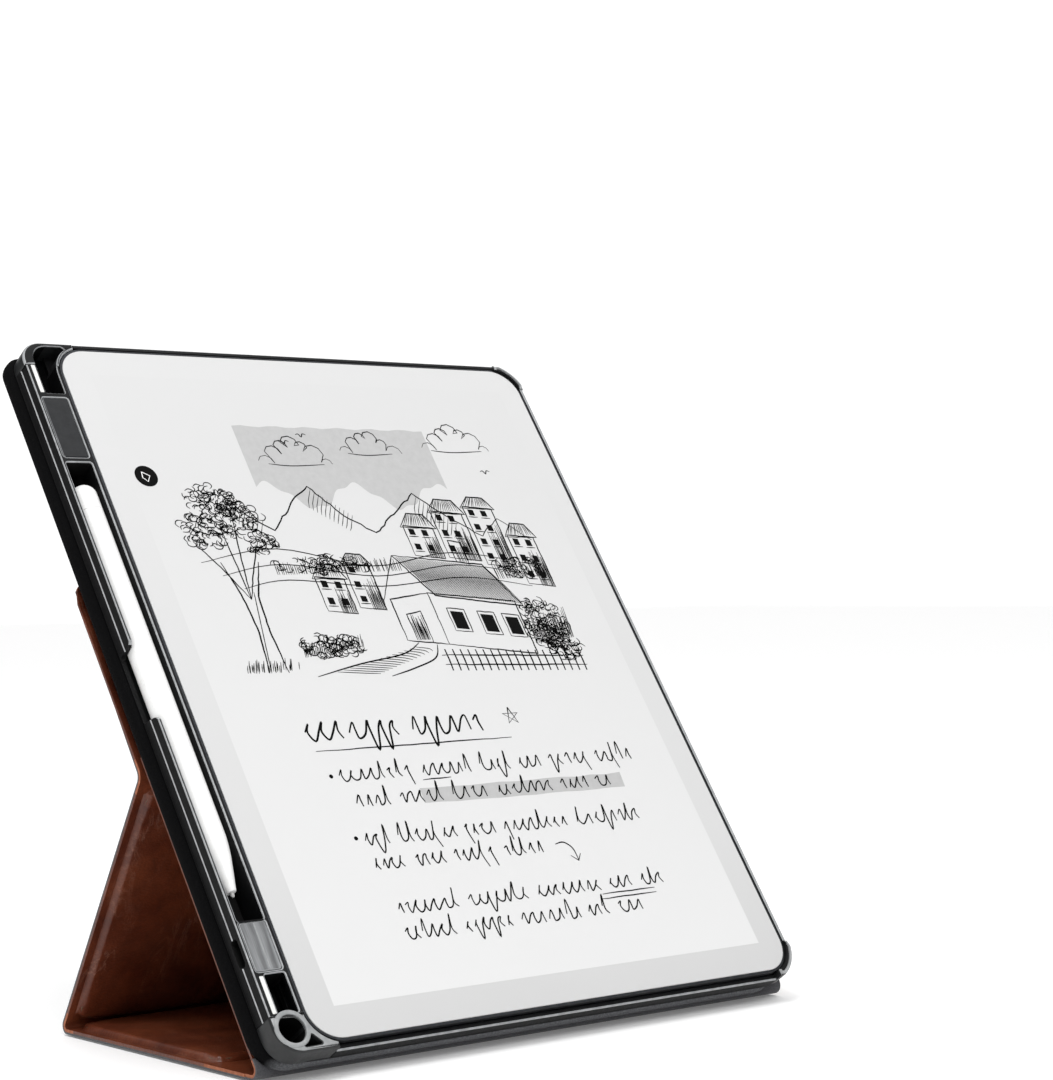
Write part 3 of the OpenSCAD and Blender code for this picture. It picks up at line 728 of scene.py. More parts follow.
high, low = bumper_lo.y, reader_box("bumper_bottom_right")[1].y
for node, corners in (
        ("bumper_top_right", [
            (case_right, high, 0), *swollen(case_hi - case_r, 14, 70.5), (arm_r, case_hi, 0),
            *arc(right_x, corner_c[1], bay_r, 72.5, 11)]),
        ("bumper_bottom_right", [
            (arm_r, case_lo, 0), *swollen(case_lo + case_r, -70.5, -9), (case_right, low, 0),
            *arc(right_x, bay_lo + bay_r, bay_r, -5.2, -72.5)])):
    on_reader(node + "_cap", solid(outline(corners), bumper_levels, weight=bumper_weight),
              [CORNER, PALE_EDGE_HIGHLIGHT, FRONT], "case_corner", "case", stands_for=(node,),
              paint=bumper_paint)


def out_x(p):
    return (1, 0) if p.x > bay + 0.1 else (0, 0)


def out_y(p):
    return (0, 1) if p.y > bay_hi + 0.1 or p.y < bay_lo - 0.1 else (0, 0)


# Walls and floor of the tray.
wall_levels = side_profile(tray_z, 0, 0.35, 0.3)
low_wall_levels = [(0, tray_z), (0, -2.95), (0.12, -2.65), (0.5, -2.45), (0.8, -2.4)]
# The right wall's front face is in the edge grey, a painted highlight; the other walls keep the
# black front with painted sheen.
for name, area, levels, weight, front, node in (
        ("wall_right", (bay, case_right, low, high), wall_levels, out_x, -0.75, ("shell_tray",)),
        ("wall_top", (arm_l, arm_r, bay_hi, case_hi), wall_levels, out_y, -0.75, ()),
        ("wall_bottom", (arm_l, arm_r, case_lo, bay_lo), low_wall_levels, out_y, -2.9, ())):
    on_reader(name, solid(box_outline(*area), levels, weight=weight),
              [*CASE_LOOKS[:3], EDGE_HIGHLIGHT if node else FRONT], "case_shell", "case", stands_for=node,
              paint=moulding(front))


def case_outline(left, r_low, r_high, steps=7):
    """The case's outline from its left side, with the radii of the corners there."""
    return outline([(left, case_lo, r_low), (case_right, case_lo, case_r),
                    (case_right, case_hi, case_r), (left, case_hi, r_high)], steps)


on_reader("tray_floor", solid(
    case_outline(-bay, 0, 0),
    [(0.1, tray_z), (0, tray_z + 0.1), (0, tray_z + 1.1), (0.1, tray_z + 1.2)]),
    [SHELL], "case_shell", "case")

# Padded board behind the tray: a shallow groove, a soft edge and a seat for the holder.
groove = [(5.6, back_z), (5.3, back_z + 0.25), (4.9, back_z + 0.25), (4.6, back_z)]
seat_x, seat_y, seat_r = holder_x + 0.6, 0.6, 7.4
seat = outline([(seat_x, case_lo + seat_y, seat_r), (-bay + 0.1, case_lo + seat_y, 0),
                (-bay + 0.1, case_hi - seat_y, 0), (seat_x, case_hi - seat_y, seat_r)])
on_reader("back_soft_board", solid(
    case_outline(soft_x, 10, 7, 14),
    [*groove, (1.5, back_z), (0.9, back_z + 0.08), (0.45, back_z + 0.35), (0.15, back_z + 0.85),
     (0, back_z + 1.6), (0, back_z + 2.6), (0.12, tray_z - 1.1), (0.45, tray_z - 0.55),
     (1.0, tray_z - 0.2), (1.7, tray_z - 0.08)],
    holes=[(seat, [(0, under_z - 0.02), (0, tray_z - 0.08)], False)]),
    [BACK_CLOTH], "case_back", "case", stands_for=("back_board",), sharp=60)

# Plates in the holder, and near-white strips beside its pockets, a painted highlight on the
# pockets' edges.
plate_levels = [(0, port_lo.z + 0.02), (0, -0.35), (0.08, -0.2), (0.25, -0.12)]


def plate(name, y0, y1, r, mats, slot, node, paint):
    gap = 0.12
    on_reader(name, solid(box_outline(channel_l + gap, channel_r - gap, y0 + gap, y1 - gap, r),
                          plate_levels), mats, slot, "case", stands_for=(node,), paint=paint)


# Painted highlights: the bridge plate's sloping chamfers are in the edge grey, and the upper
# plate's left-facing chamfers in the paler bridge grey.
plate("bridge_plate", port_lo.y, port_hi.y, 0.9, [PLATE_MID, EDGE_HIGHLIGHT], "case_bridge", "port_bridge",
      lambda mid, n: int(0.2 < n.z < 0.97))
ridge_x = channel_l + 5.0
# The ridge is pale grey, a painted highlight along it.
on_reader("bridge_ridge", solid(
    box_outline(ridge_x - 0.22, ridge_x + 0.22, port_lo.y + 0.5, port_hi.y - 0.5, 0.2, 3),
    [(0, -0.2), (0, -0.08), (0.08, -0.02)]), [PALE_EDGE_HIGHLIGHT], "case_bridge", "case")
plate("upper_plate", plate_lo.y, plate_hi.y, 0.7, [PLATE_DARK, PLATE_MID], "case_plate",
      "holder_plate", lambda mid, n: int(0.2 < n.z < 0.97 and n.x < -0.1))
for label, y0, y1, node in (("low", highlight_strip_lo.y, 21.4, ("holder_inlays",)),
                            ("high", 225.0, highlight_strip_hi.y, ())):
    on_reader("inlay_" + label, solid(box_outline(highlight_strip_lo.x, highlight_strip_hi.x, y0, y1, 0.25, 3),
                                      [(0, highlight_strip_lo.z), (0, 0.02), (0.1, 0.12)]),
              [POCKET_EDGE_HIGHLIGHT], "case_inlay", "case", stands_for=node)

# ---------- reader ----------

on_reader("screen_glass", solid(
    box_outline(-glass_x, glass_x, 0, glass_h, 10, 12),
    [(0, -0.7), (0, -0.22), (0.06, -0.06), (0.22, 0)]),
    [SCREEN], "glass_front", "reader", stands_for=("front_glass",))

rng = random.Random(20)


def drawn(points, step=1.6, shake=0.12):
    """A hand-drawn line through the points, with a slight shake."""
    made = []
    for (x0, y0), (x1, y1) in zip(points, points[1:]):
        n = max(1, int(math.hypot(x1 - x0, y1 - y0) / step))
        for t in (k / n for k in range(n)):
            made.append((x0 + (x1 - x0) * t + rng.uniform(-shake, shake),
                         y0 + (y1 - y0) * t + rng.uniform(-shake, shake)))
    return made + [points[-1]]


def curve(points, steps=6):
    """Smooth curve through the points."""
    p = [Vector(points[0]), *map(Vector, points), Vector(points[-1])]
    made = []
    for i in range(1, len(p) - 2):
        for t in (k / steps for k in range(steps)):
            made.append(0.5 * (2 * p[i] + (p[i + 1] - p[i - 1]) * t
                               + (2 * p[i - 1] - 5 * p[i] + 4 * p[i + 1] - p[i + 2]) * t * t
                               + (3 * p[i] - p[i - 1] - 3 * p[i + 1] + p[i + 2]) * t ** 3))
    return [tuple(v) for v in made] + [tuple(points[-1])]


class Ink:
    """Flat marks on the glass: thin closed ribbons and patches, in reader mm."""

    def __init__(self, low, top):
        self.verts, self.faces, self.low, self.top = [], [], low, top

    def line(self, points, width=0.45, taper=1.0):
        pts = [Vector(p) for p in points]
        n, first = len(pts), len(self.verts)
        for i, p in enumerate(pts):
            t = pts[min(i + 1, n - 1)] - pts[max(i - 1, 0)]
            near_end = max(0.0, 1 - min(i, n - 1 - i) / max(1, 0.25 * n))
            side = Vector((-t.y, t.x)).normalized() * (width * (1 - 0.55 * taper * near_end) / 2)
            for q, z in ((p + side, self.low), (p - side, self.low),
                         (p - side, self.top), (p + side, self.top)):
                self.verts.append((q.x, q.y, z))
        for a in range(first, first + 4 * (n - 1), 4):
            self.faces.extend((a + k, a + (k + 1) % 4, a + 4 + (k + 1) % 4, a + 4 + k)
                              for k in range(4))
        end = first + 4 * (n - 1)
        self.faces.extend([tuple(range(first, first + 4)), tuple(range(end + 3, end - 1, -1))])

    def draw(self, points, width=0.5, step=1.6, shake=0.12):
        self.line(drawn(points, step, shake), width)

    def bow(self, points, width=0.5, steps=6, taper=1.0):
        self.line(curve(points, steps), width, taper)

    def patch(self, points):
        verts, faces = solid([Vector(p) for p in points], [(0, self.low), (0, self.top)])
        first = len(self.verts)
        self.verts.extend(verts)
        self.faces.extend(tuple(first + i for i in f) for f in faces)

    def hatch(self, x0, y0, x1, y1, n, length, lean_by=0.4):
        """Short strokes of uneven length, rising from a line."""
        for k in range(n):
            t = (k + rng.random()) / n
            x, y = x0 + (x1 - x0) * t, y0 + (y1 - y0) * t
            h = length * rng.uniform(0.5, 1.1)
            off = lean_by * h
            self.line([(x, y), (x + off * 0.5, y + h * 0.55), (x + off, y + h)], 0.3)

    def scribble(self, x, y, w, h, n):
        """Loose leafy scribble inside an oval."""
        for _ in range(n):
            a, r = rng.uniform(0, 2 * math.pi), math.sqrt(rng.random())
            cx, cy = x + w * r * math.cos(a), y + h * r * math.sin(a)
            s, turn = rng.uniform(0.9, 2.1), rng.uniform(0, 2 * math.pi)
            turns = [turn + k * 1.1 for k in range(rng.randint(3, 5))]
            self.bow([(cx + s * math.cos(t), cy + 0.8 * s * math.sin(t)) for t in turns], 0.35, 4)

    def house(self, x, y, w, h, roof, rows):
        """A small house with a hatched roof and dark windows."""
        self.draw([(x, y), (x, y + h), (x + w, y + h - 0.08 * w), (x + w, y - 0.12 * w), (x, y)],
                  0.45)
        eaves = (x - 1.2, y + h - 0.6)
        self.draw([eaves, (x + 0.3 * w, y + h + roof), (x + 0.85 * w, y + h + 0.9 * roof),
                   (x + w + 1.4, y + h - 0.1 * w), eaves])
        for k in range(int(w / 0.9)):
            t = (k + rng.uniform(0.2, 0.8)) * 0.9 / w
            self.line([(x + w * (0.3 + 0.55 * t), y + h + roof * (0.97 - 0.07 * t)),
                       (x + w * (0.15 + 0.8 * t), y + h + roof * 0.5), (x + w * t, y + h)], 0.28)
        for row in range(rows):
            for c in range(max(1, int(w / 5.5))):
                wx, wy = x + 1.6 + 5.2 * c, y + h * (row + 0.4) / rows - 0.09 * 5.2 * c
                self.patch([(wx, wy), (wx + 2.3, wy - 0.2), (wx + 2.3, wy + 0.36 * h / rows),
                            (wx, wy + 0.4 * h / rows)])
                self.line([(wx - 0.7, wy - 0.7), (wx + 1.2, wy - 0.8), (wx + 3.1, wy - 0.9)], 0.4)
        self.hatch(x + 0.5 * w, y - 0.1 * w, x + w, y - 0.12 * w, int(1.4 * w), 0.7 * h, 0.0)

    def cloud(self, x, y, w, bumps):
        points = []
        for k in range(bumps + 1):
            base_y = y + 0.32 * w * math.sin(math.pi * k / bumps)
            r = w * 0.13 * (1 + 0.4 * math.sin(3 * k))
            for a in (math.pi * (1 - j / 4) * 0.9 for j in range(5)):
                points.append((x + w * k / bumps + r * math.cos(a), base_y + r * math.sin(a)))
        self.line(points, 0.4)
        self.bow([(x + 0.02 * w, y - 0.3), (x + 0.4 * w, y - 1.0), (x + 0.95 * w, y - 0.2)], 0.35)

    def words(self, x0, x1, y, size=3.9, width=0.5):
        """A row of loops and strokes in word-like groups; they spell nothing."""
        x = x0
        while x < x1 - 2.2 * size:
            stroke = []
            for _ in range(rng.randint(3, 8)):
                if x > x1 - size:
                    break
                w = size * rng.uniform(0.58, 0.85)
                tall, below = rng.random() < 0.17, rng.random() < 0.1
                crest = size * (rng.uniform(1.5, 1.8) if tall else rng.uniform(0.85, 1.05))
                foot = size * (-0.75 if below else rng.uniform(-0.04, 0.08))
                lean_back = rng.uniform(-0.1, 0.3)
                stroke.extend([(x, y + rng.uniform(0.1, 0.75) * size), (x + 0.5 * w, y + crest),
                               (x + (0.5 - lean_back) * w, y + 0.5 * size),
                               (x + 0.62 * w, y + foot)])
                if rng.random() < 0.3:
                    self.bow(stroke, width, 5, 0.5)
                    stroke = []
                x += w * 1.2
            if stroke:
                self.bow(stroke, width, 5, 0.5)
            x += size * rng.uniform(0.6, 0.85)


# A drawing of hills, a village and a tree.
sketch, wash = Ink(0.02, 0.05), Ink(0.006, 0.016)
hills_edge = [(40 - k, 186 + 5 * math.sin(k * 0.18 + 0.7) + 0.9 * math.sin(k * 0.7))
              for k in range(78, -1, -1)]
sky_edge = [(-38 + 78 * k / 22, 214 + 0.35 * math.sin(k * 1.7)) for k in range(22, -1, -1)]
wash.patch(hills_edge + sky_edge)
for place in ((-30, 199, 24, 6), (4, 204, 20, 5), (40, 206, 24, 6)):
    sketch.cloud(*place)
sketch.draw([(-72, 168), (-62, 180), (-54, 188), (-46, 178), (-38, 172), (-26, 184), (-18, 190),
             (-8, 178), (2, 171), (14, 180), (24, 187), (34, 178), (46, 170), (56, 177), (67, 168)],
            0.5, 1.8, 0.35)
for px, py in ((-54, 188), (-18, 190), (24, 187)):
    for k in range(11):
        x = px + 0.7 + k * 1.25
        sketch.line([(x, py - 1.4 - k * 1.05), (x - 2.6, py - 6 - k * 1.1),
                     (x - 3.4, py - 9 - k * 0.9)], 0.28)
for k in range(3):
    sketch.bow([(-70 + 6 * k, 160 - 5 * k), (-40, 165 - 6 * k), (-5, 158 - 4 * k),
                (30, 163 - 5 * k), (66 - 4 * k, 157 - 4 * k)], 0.35)
sketch.hatch(-44, 155, 6, 156, 60, 5, 0.05)
sketch.hatch(44, 152, 67, 153, 34, 6.5, -0.05)
sketch.scribble(-24, 159, 20, 3, 70)
sketch.scribble(56, 157, 10, 4, 60)
# Tree at the left.
sketch.draw([(-61, 119), (-59, 134), (-60, 148), (-63, 160)], 0.6)
sketch.draw([(-54, 119), (-55, 134), (-54, 147), (-49, 160)], 0.6)
for x, y in ((-70, 168), (-58, 172), (-46, 168), (-52, 178)):
    sketch.draw([(-57, 146), ((x - 57) / 2, (y + 148) / 2), (x, y)], 0.45)
for place in ((-64, 172, 9, 7, 90), (-50, 176, 9, 8, 90), (-57, 184, 10, 6, 80),
              (-45, 167, 6, 4, 40)):
    sketch.scribble(*place)
sketch.hatch(-60, 121, -55.5, 146, 40, 4.5, 0.15)
# House at the right, with a dark roof, windows and a door.
sketch.draw([(12, 127), (12, 147), (47, 143), (47, 122), (12, 127)])
sketch.draw([(-4, 129), (-4, 145), (12, 147)])
sketch.draw([(-4, 129), (12, 127)], 0.45)
sketch.draw([(-7, 144), (4, 162), (15, 146), (50, 141), (40, 158), (4, 162)], 0.55)
for k in range(46):
    x = 5.5 + k * 0.78
    sketch.line([(x, 161.4 - 0.09 * k), (x + 5.2, 154 - 0.1 * k), (x + 9.6, 146.8 - 0.11 * k)],
                0.34)
for x, y in ((18, 133), (30, 131.5), (40, 130.2)):
    sketch.patch([(x, y), (x + 5, y - 0.6), (x + 5, y + 6.2), (x, y + 6.8)])
    sketch.draw([(x - 0.9, y - 0.9), (x + 5.9, y - 1.6), (x + 5.9, y + 7.2), (x - 0.9, y + 8),
                 (x - 0.9, y - 0.9)], 0.4)
sketch.draw([(0, 129), (0, 139), (6, 140), (6, 128)], 0.45)
sketch.hatch(0.6, 129, 5.4, 129, 16, 9, 0.0)
for place in ((-30, 141, 11, 13, 5, 2), (-17, 142, 10, 17, 4, 3), (14, 162, 12, 12, 5, 2),
              (28, 161, 13, 19, 5, 3), (43, 158, 12, 24, 4, 4), (57, 150, 11, 20, 5, 3)):
    sketch.house(*place)
sketch.draw([(30, 159), (30, 168), (35, 167), (35, 158)])
sketch.hatch(31, 159, 34.6, 159, 8, 7, 0.0)
# Path, fence, bushes, reeds and birds.
sketch.bow([(0, 128), (-8, 124), (-26, 121), (-44, 117)])
sketch.bow([(7, 127), (4, 122), (-6, 118.5), (-16, 116)])
for t in (k / 13 for k in range(14)):
    sketch.bow([(-2 - 34 * t, 126.4 - 8 * t), (3 - 30 * t, 125.6 - 8 * t),
                (4 - 24 * t, 124.6 - 7.5 * t)], 0.25)
for k in range(19):
    x = 9 + k * 3.1
    sketch.line([(x, 117 - 0.12 * k), (x + 0.2, 121 - 0.1 * k), (x + 0.1, 125.2 - 0.14 * k)],
                0.6, 0.4)
for lift in (0, 3.6):
    sketch.draw([(7, 119.4 + lift), (66, 117 + lift)], 0.5, 3)
sketch.scribble(56, 134, 9, 10, 170)
sketch.scribble(60, 124, 7, 4, 60)
sketch.hatch(48, 126, 66, 128, 40, 12, 0.12)
sketch.scribble(-34, 128, 12, 4, 90)
sketch.hatch(-46, 124, -22, 127, 40, 5, 0.2)
for k in range(12):
    sketch.hatch(-70 + k * 1.2, 119, -66 + k * 1.5, 120, 3, 4, 0.3)
for x, y in ((-20, 207), (-12, 210), (60, 196)):
    sketch.bow([(x - 2, y + 1), (x - 0.8, y + 1.3), (x, y), (x + 0.9, y + 1.4), (x + 2.2, y + 1)],
               0.4, 3)

# Notes under it: a title with a star, six rows, bullets, an arrow, underlines and a marker.
notes, mark = Ink(0.02, 0.05), Ink(0.006, 0.016)
notes.words(-57, 16, 94.5, 6.2, 0.72)
notes.draw([(-55.7, 90.8), (20.5, 91.2)], 0.42, 4, 0.1)
star = [math.radians(90 + 144 * k) for k in range(6)]
notes.line([(24 + 3.2 * math.cos(a), 99 + 3.2 * math.sin(a)) for a in star], 0.5, 0.2)
for row in ((-51, 71, 80), (-48.7, 57, 71), (-51, 65, 58), (-51, 17, 49.8), (-49, 60, 34.8),
            (-50, 54, 26.5)):
    notes.words(*row)
for y in (82, 60.7):
    notes.patch(round_outline(-54, y, 0.7, 4, 0.01))
notes.bow([(19, 52), (22.5, 52.4), (25.2, 50), (25.6, 45.8)], 0.45)
notes.line([(23.2, 47.6), (25.5, 45.6), (27.4, 48)], 0.45)
notes.draw([(-21, 78.4), (-10, 78.6)], 0.4, 3, 0.1)
for d in (0, -1.6):
    notes.draw([(29 + d, 33.2 + d), (51, 33.4 + d)], 0.4, 3, 0.1)
mark.patch(drawn([(-24, 70.2), (58, 70.0)], 6, 0.3) + drawn([(58.6, 75.2), (-23.6, 75.6)], 6, 0.3))
# The tool button: a dark disc with a small outline on it.
disc, spot = Ink(0.02, 0.05), Ink(0.05, 0.06)
turns = [2 * math.pi * k / 32 for k in range(32)]
disc.patch([(-77.7 + 4 * math.cos(a), 193 + 4 * math.sin(a)) for a in turns])
spot.line([(-78.9, 194.6), (-76.4, 193.1), (-77.7, 190.9), (-79.2, 192.4), (-78.9, 194.6)],
          0.36, 0.0)
for name, ink, mat in (("sketch", sketch, INK), ("grey_patch", wash, WASH), ("notes", notes, INK),
                       ("highlight", mark, MARK), ("tool_disc", disc, INK),
                       ("tool_mark", spot, DISC)):
    on_reader("screen_" + name, (ink.verts, ink.faces), [mat], "display_stack", "reader")

# ---------- pen ----------

nib_lo, nib_hi = reader_box("pen_nib")
cap_lo, cap_hi = reader_box("pen_end_cap")
cone_lo, cone_hi = reader_box("pen_cone")
# Small moves of the pen from its CAD place and size, to lie in the holder as in the photograph.
pen_x, pen_r = (cap_lo.x + cap_hi.x) / 2 + 0.1, (cap_hi.x - cap_lo.x) / 2 + 0.1
pen_z, pen_len = (cap_lo.z + cap_hi.z) / 2 + 0.85, cap_hi.y - nib_lo.y + 1.2
PEN_AXES = READER @ Matrix(((1, 0, 0, pen_x), (0, 0, 1, nib_lo.y), (0, -1, 0, pen_z), (0, 0, 0, 1)))
cone_base, cone_at, cap_at = (v.y - nib_lo.y for v in (cone_lo, cone_hi, cap_lo))
dome = [(pen_r * math.cos(math.radians(a)), pen_len - pen_r + pen_r * math.sin(math.radians(a)))
        for a in range(0, 90, 9)]
piece("pen_shell", turned([
    (0, cone_base), (1.35, cone_base), (1.5, cone_base + 0.2), (2.5, 6.6), (3.6, 12.4),
    (4.0, cone_at - 1.4), (pen_r, cone_at + 1.2), (pen_r, cap_at - 0.16),
    (pen_r - 0.1, cap_at - 0.06), (pen_r - 0.1, cap_at + 0.06), (pen_r, cap_at + 0.16),
    *dome, (0, pen_len)]), PEN_AXES, [PEN, PEN_SEAM], "pen_white", "pen",
    stands_for=("pen_barrel", "pen_cone", "pen_end_cap"),
    paint=lambda mid, n: int(abs(mid.z - cap_at) < 0.1))
piece("pen_tip", turned([
    (0, 0.02), (0.32, 0.08), (0.56, 0.42), (0.64, 0.95), (0.65, 8), (0, 8)], 32),
    PEN_AXES, [NIB], "pen_nib", "nib", stands_for=("pen_nib",))

# ---------- cover ----------


def evenly(lo, hi, n):
    return [lo + (hi - lo) * k / n for k in range(n + 1)]


def spread(lo, hi, marks, fine=0.3, reach=2.7, coarse=5.0):
    """Grid lines from lo to hi, close together near the marks."""
    near = (m - reach + k * fine for m in marks for k in range(int(2 * reach / fine) + 1))
    lines = sorted({lo, hi, *(v for v in near if lo < v < hi)})
    filled = lines[:1]
    for v in lines[1:]:
        last, gap = filled[-1], v - filled[-1]
        if gap < 0.12:
            continue
        n = int(math.ceil(gap / coarse))
        filled.extend([last + gap * (k + 1) / n for k in range(n)])
    filled[-1] = hi
    return filled


def flat_rows(place, ys, base):
    """Rows (point, normal, s, y) on a flat part; s is the distance along the unrolled cover."""
    out_of = (place.to_3x3() @ Vector((0, 0, 1))).yz.normalized()
    return [((place @ Vector((0, y, meet))).yz / MM, out_of, base + y, y) for y in ys]


def bend_rows(place_a, a, place_b, b, longest, s0, s1, steps=14):
    """Rows from point a of one part to point b of the next, with one round bend between.
    longest limits the straight part that the bend takes up; s runs from s0 to s1."""
    (pa, na, _, _), = flat_rows(place_a, [a], 0)
    (pb, nb, _, _), = flat_rows(place_b, [b], 0)
    da, db = Vector((na.y, -na.x)), Vector((nb.y, -nb.x))
    cross = da.x * db.y - da.y * db.x
    gap = pb - pa
    if abs(cross) < 1e-6:
        points = [(pa + gap * k / steps, da) for k in range(steps + 1)]
    else:
        la = (gap.x * db.y - gap.y * db.x) / cross
        corner = pa + da * la
        lb = (pb - corner).length
        reach = min(la, lb, longest)
        turn = math.atan2(cross, da.dot(db))
        spoke = Vector((da.y, -da.x)) * math.copysign(reach / math.tan(abs(turn) / 2), turn)
        mid = corner - da * reach - spoke
        points = []
        if la > reach + 0.05:
            points.extend((pa + da * (la - reach) * k / 3, da) for k in range(3))
        for k in range(steps + 1):
            co, si = math.cos(turn * k / steps), math.sin(turn * k / steps)
            points.append((mid + Vector((spoke.x * co - spoke.y * si, spoke.x * si + spoke.y * co)),
                           Vector((da.x * co - da.y * si, da.x * si + da.y * co))))
        if lb > reach + 0.05:
            points.extend((pb - db * (lb - reach) * (1 - k / 3), db) for k in range(1, 4))
    lengths = [0.0]
    for (p, _), (q, _) in zip(points, points[1:]):
        lengths.append(lengths[-1] + (q - p).length)
    s0 = s1 - lengths[-1] if s0 is None else s0
    return [(p, Vector((-d.y, d.x)), s0 + (s1 - s0) * l / lengths[-1], None)
            for (p, d), l in zip(points, lengths)]


def soft_pad(pad):
    """Height of the leather over its board at (x, y): a soft shoulder, nearly flat inside."""
    side, corner_r, height = 2.5, 5.9, 1.9
    px, py = (cover_lo + cover_hi) / 2, (pad[0] + pad[1]) / 2
    hx, hy = (cover_hi - cover_lo) / 2 - side, (pad[1] - pad[0]) / 2

    def up(x, y):
        qx, qy = abs(x - px) - hx + corner_r, abs(y - py) - hy + corner_r
        d = math.hypot(max(qx, 0), max(qy, 0)) + min(max(qx, qy), 0) - corner_r
        if d >= 0:
            return half - 0.14 * math.exp(-(d / 0.55) ** 2)
        t = min(1.0, -d / 1.7)
        bulge = height * (1 - (1 - t) ** 2.3) - 0.14 * math.exp(-(d / 0.3) ** 2)
        return half + bulge * 0.93 + 0.07 * height * (1 - math.exp(d / 9))
    return up


def swept(name, rows, xs, top, low, mats, slot, stands_for, free_end):
    """A layer of the cover, from its low to its top height over the rows, which run through a bend.
    top is a height above the rows or a function of (x, y); free_end rounds the far corners."""
    mid_x, corner = (xs[0] + xs[-1]) / 2, 12
    keep = (xs[-1] - xs[0]) / 2 - corner
    end = rows[-1][3]

    def shift(x, y):
        """x, drawn in towards the middle near the free end."""
        if not free_end or y is None or y <= end - free_end:
            return x
        dy = y - (end - free_end)
        slack = free_end - math.sqrt(max(0.0, free_end ** 2 - dy ** 2))
        off = x - mid_x
        if abs(off) > keep:
            off = math.copysign(keep + (abs(off) - keep) * (corner - slack) / corner, off)
        return mid_x + off

    def height(x, y):
        if not callable(top):
            return top
        return (half if y is None else top(x, y)) - meet

    verts, flat, faces = [], [], []
    n, layer = len(xs), len(rows) * len(xs)
    for upper in (False, True):
        for p, normal, s, y in rows:
            for x in (shift(x0, y) for x0 in xs):
                h = height(x, y) if upper else low
                q = p + normal * h
                verts.append((x, q.x, q.y))
                flat.append((x, s, 0 if upper else h))
    for k in range(len(rows) - 1):
        for c in range(k * n, k * n + n - 1):
            faces.append((c, c + 1, c + n + 1, c + n))
            faces.append((c + layer, c + 1 + layer, c + n + 1 + layer, c + n + layer))
        for c in (k * n, k * n + n - 1):
            faces.append((c, c + n, c + n + layer, c + layer))
    ends = len(faces)
    for k in (0, len(rows) - 1):
        faces.extend((c, c + 1, c + 1 + layer, c + layer) for c in range(k * n, k * n + n - 1))
    obj = piece(name, (verts, faces), ROW, mats, slot, flat=flat, sharp=50)
    if len(mats) > 1:             # the second material is the cut edge
        margin, narrow = 13, 3e-6     # mm from the sides; m2
        for f in obj.data.polygons:
            at_side = abs(f.normal.x) > 0.35 and f.area < narrow and all(
                not xs[0] + margin <= flat[i][0] <= xs[-1] - margin for i in f.vertices)
            rim = len({i < layer for i in f.vertices}) == 2
            f.material_index = int(rim and (at_side or f.index >= ends))
    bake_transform(obj)
    if stands_for:
        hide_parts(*stands_for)
    return obj


ROW = Matrix.Diagonal((MM, MM, MM, 1))
# The flap's frame runs down the back of the case, with the leather facing out.
outward = READER.to_3x3() @ Vector((0, 0, -1))
FLAP = sheet_frame(READER @ Vector((0, 0, back_z)) - outward * meet, lean + math.pi)
flap_edge = 2.6
split_a, split_b = 0.75 * strip_len, 0.8 * strip_len
at_lower = 2 * strip_len
at_middle = at_lower + lower_len
at_upper = at_middle + middle_len
spine_gap, rear_gap, top_gap = 3.5, 3.0, 2.5
flap_bend = bend_rows(FLAP, -flap_edge, STRIP_REAR, split_a, 4.4, None, split_a)
flap_base = flap_bend[0][2] + flap_edge
spine = bend_rows(STRIP_REAR, split_a, STRIP_FRONT, split_b, 5, split_a, strip_len + split_b)
front_bend = bend_rows(STRIP_FRONT, split_b, LOWER, spine_gap, 5, strip_len + split_b,
                       at_lower + spine_gap)
rear_bend = bend_rows(LOWER, lower_len - rear_gap, MIDDLE, rear_gap, 5, at_middle - rear_gap,
                      at_middle + rear_gap)
top_bend = bend_rows(MIDDLE, middle_len - top_gap, UPPER, top_gap, 5, at_upper - top_gap,
                     at_upper + top_gap)
# Name, padded part, flat part, frame, its place along the cover, bend, bodies, where it blends.
parts = (
    ("flap", (), (-flap_hi.y, -flap_edge), FLAP, flap_base, flap_bend, ("case", "spine_rear"),
     ((FLAP, -0.63), (STRIP_REAR, 4.1))),
    ("spine", (), (), STRIP_REAR, 0, spine, ("spine_rear", "spine_front"),
     ((STRIP_FRONT, -2.4), (STRIP_FRONT, 2.4))),
    ("lower", (5.1, lower_len - 4.1), (spine_gap, lower_len - rear_gap), LOWER, at_lower,
     front_bend, ("spine_front", "lower_panel"), ((LOWER, -1.9), (LOWER, 2.6))),
    ("middle", (4.1, middle_len - 3.0), (rear_gap, middle_len - top_gap), MIDDLE, at_middle,
     rear_bend, ("lower_panel", "middle_panel"), ((LOWER, lower_len - 2.9), (MIDDLE, 2.9))),
    ("upper", (3.0, upper_len - 1.7), (top_gap, upper_len), UPPER, at_upper,
     top_bend, ("middle_panel", "upper_panel"), ((MIDDLE, middle_len - 2.4), (UPPER, 2.4))),
)
stands = {"flap": (("back_flap",), ()),
          "spine": [[f"spine_{end}_{layer}" for end in ("rear", "front")]
                    for layer in ("leather", "lining")]}
plain_x = evenly(cover_lo, cover_hi, 44)
padded_x = spread(cover_lo, cover_hi, [cover_lo + 2.5, cover_hi - 2.5])
flap_x = evenly(flap_lo.x, flap_hi.x, 44)
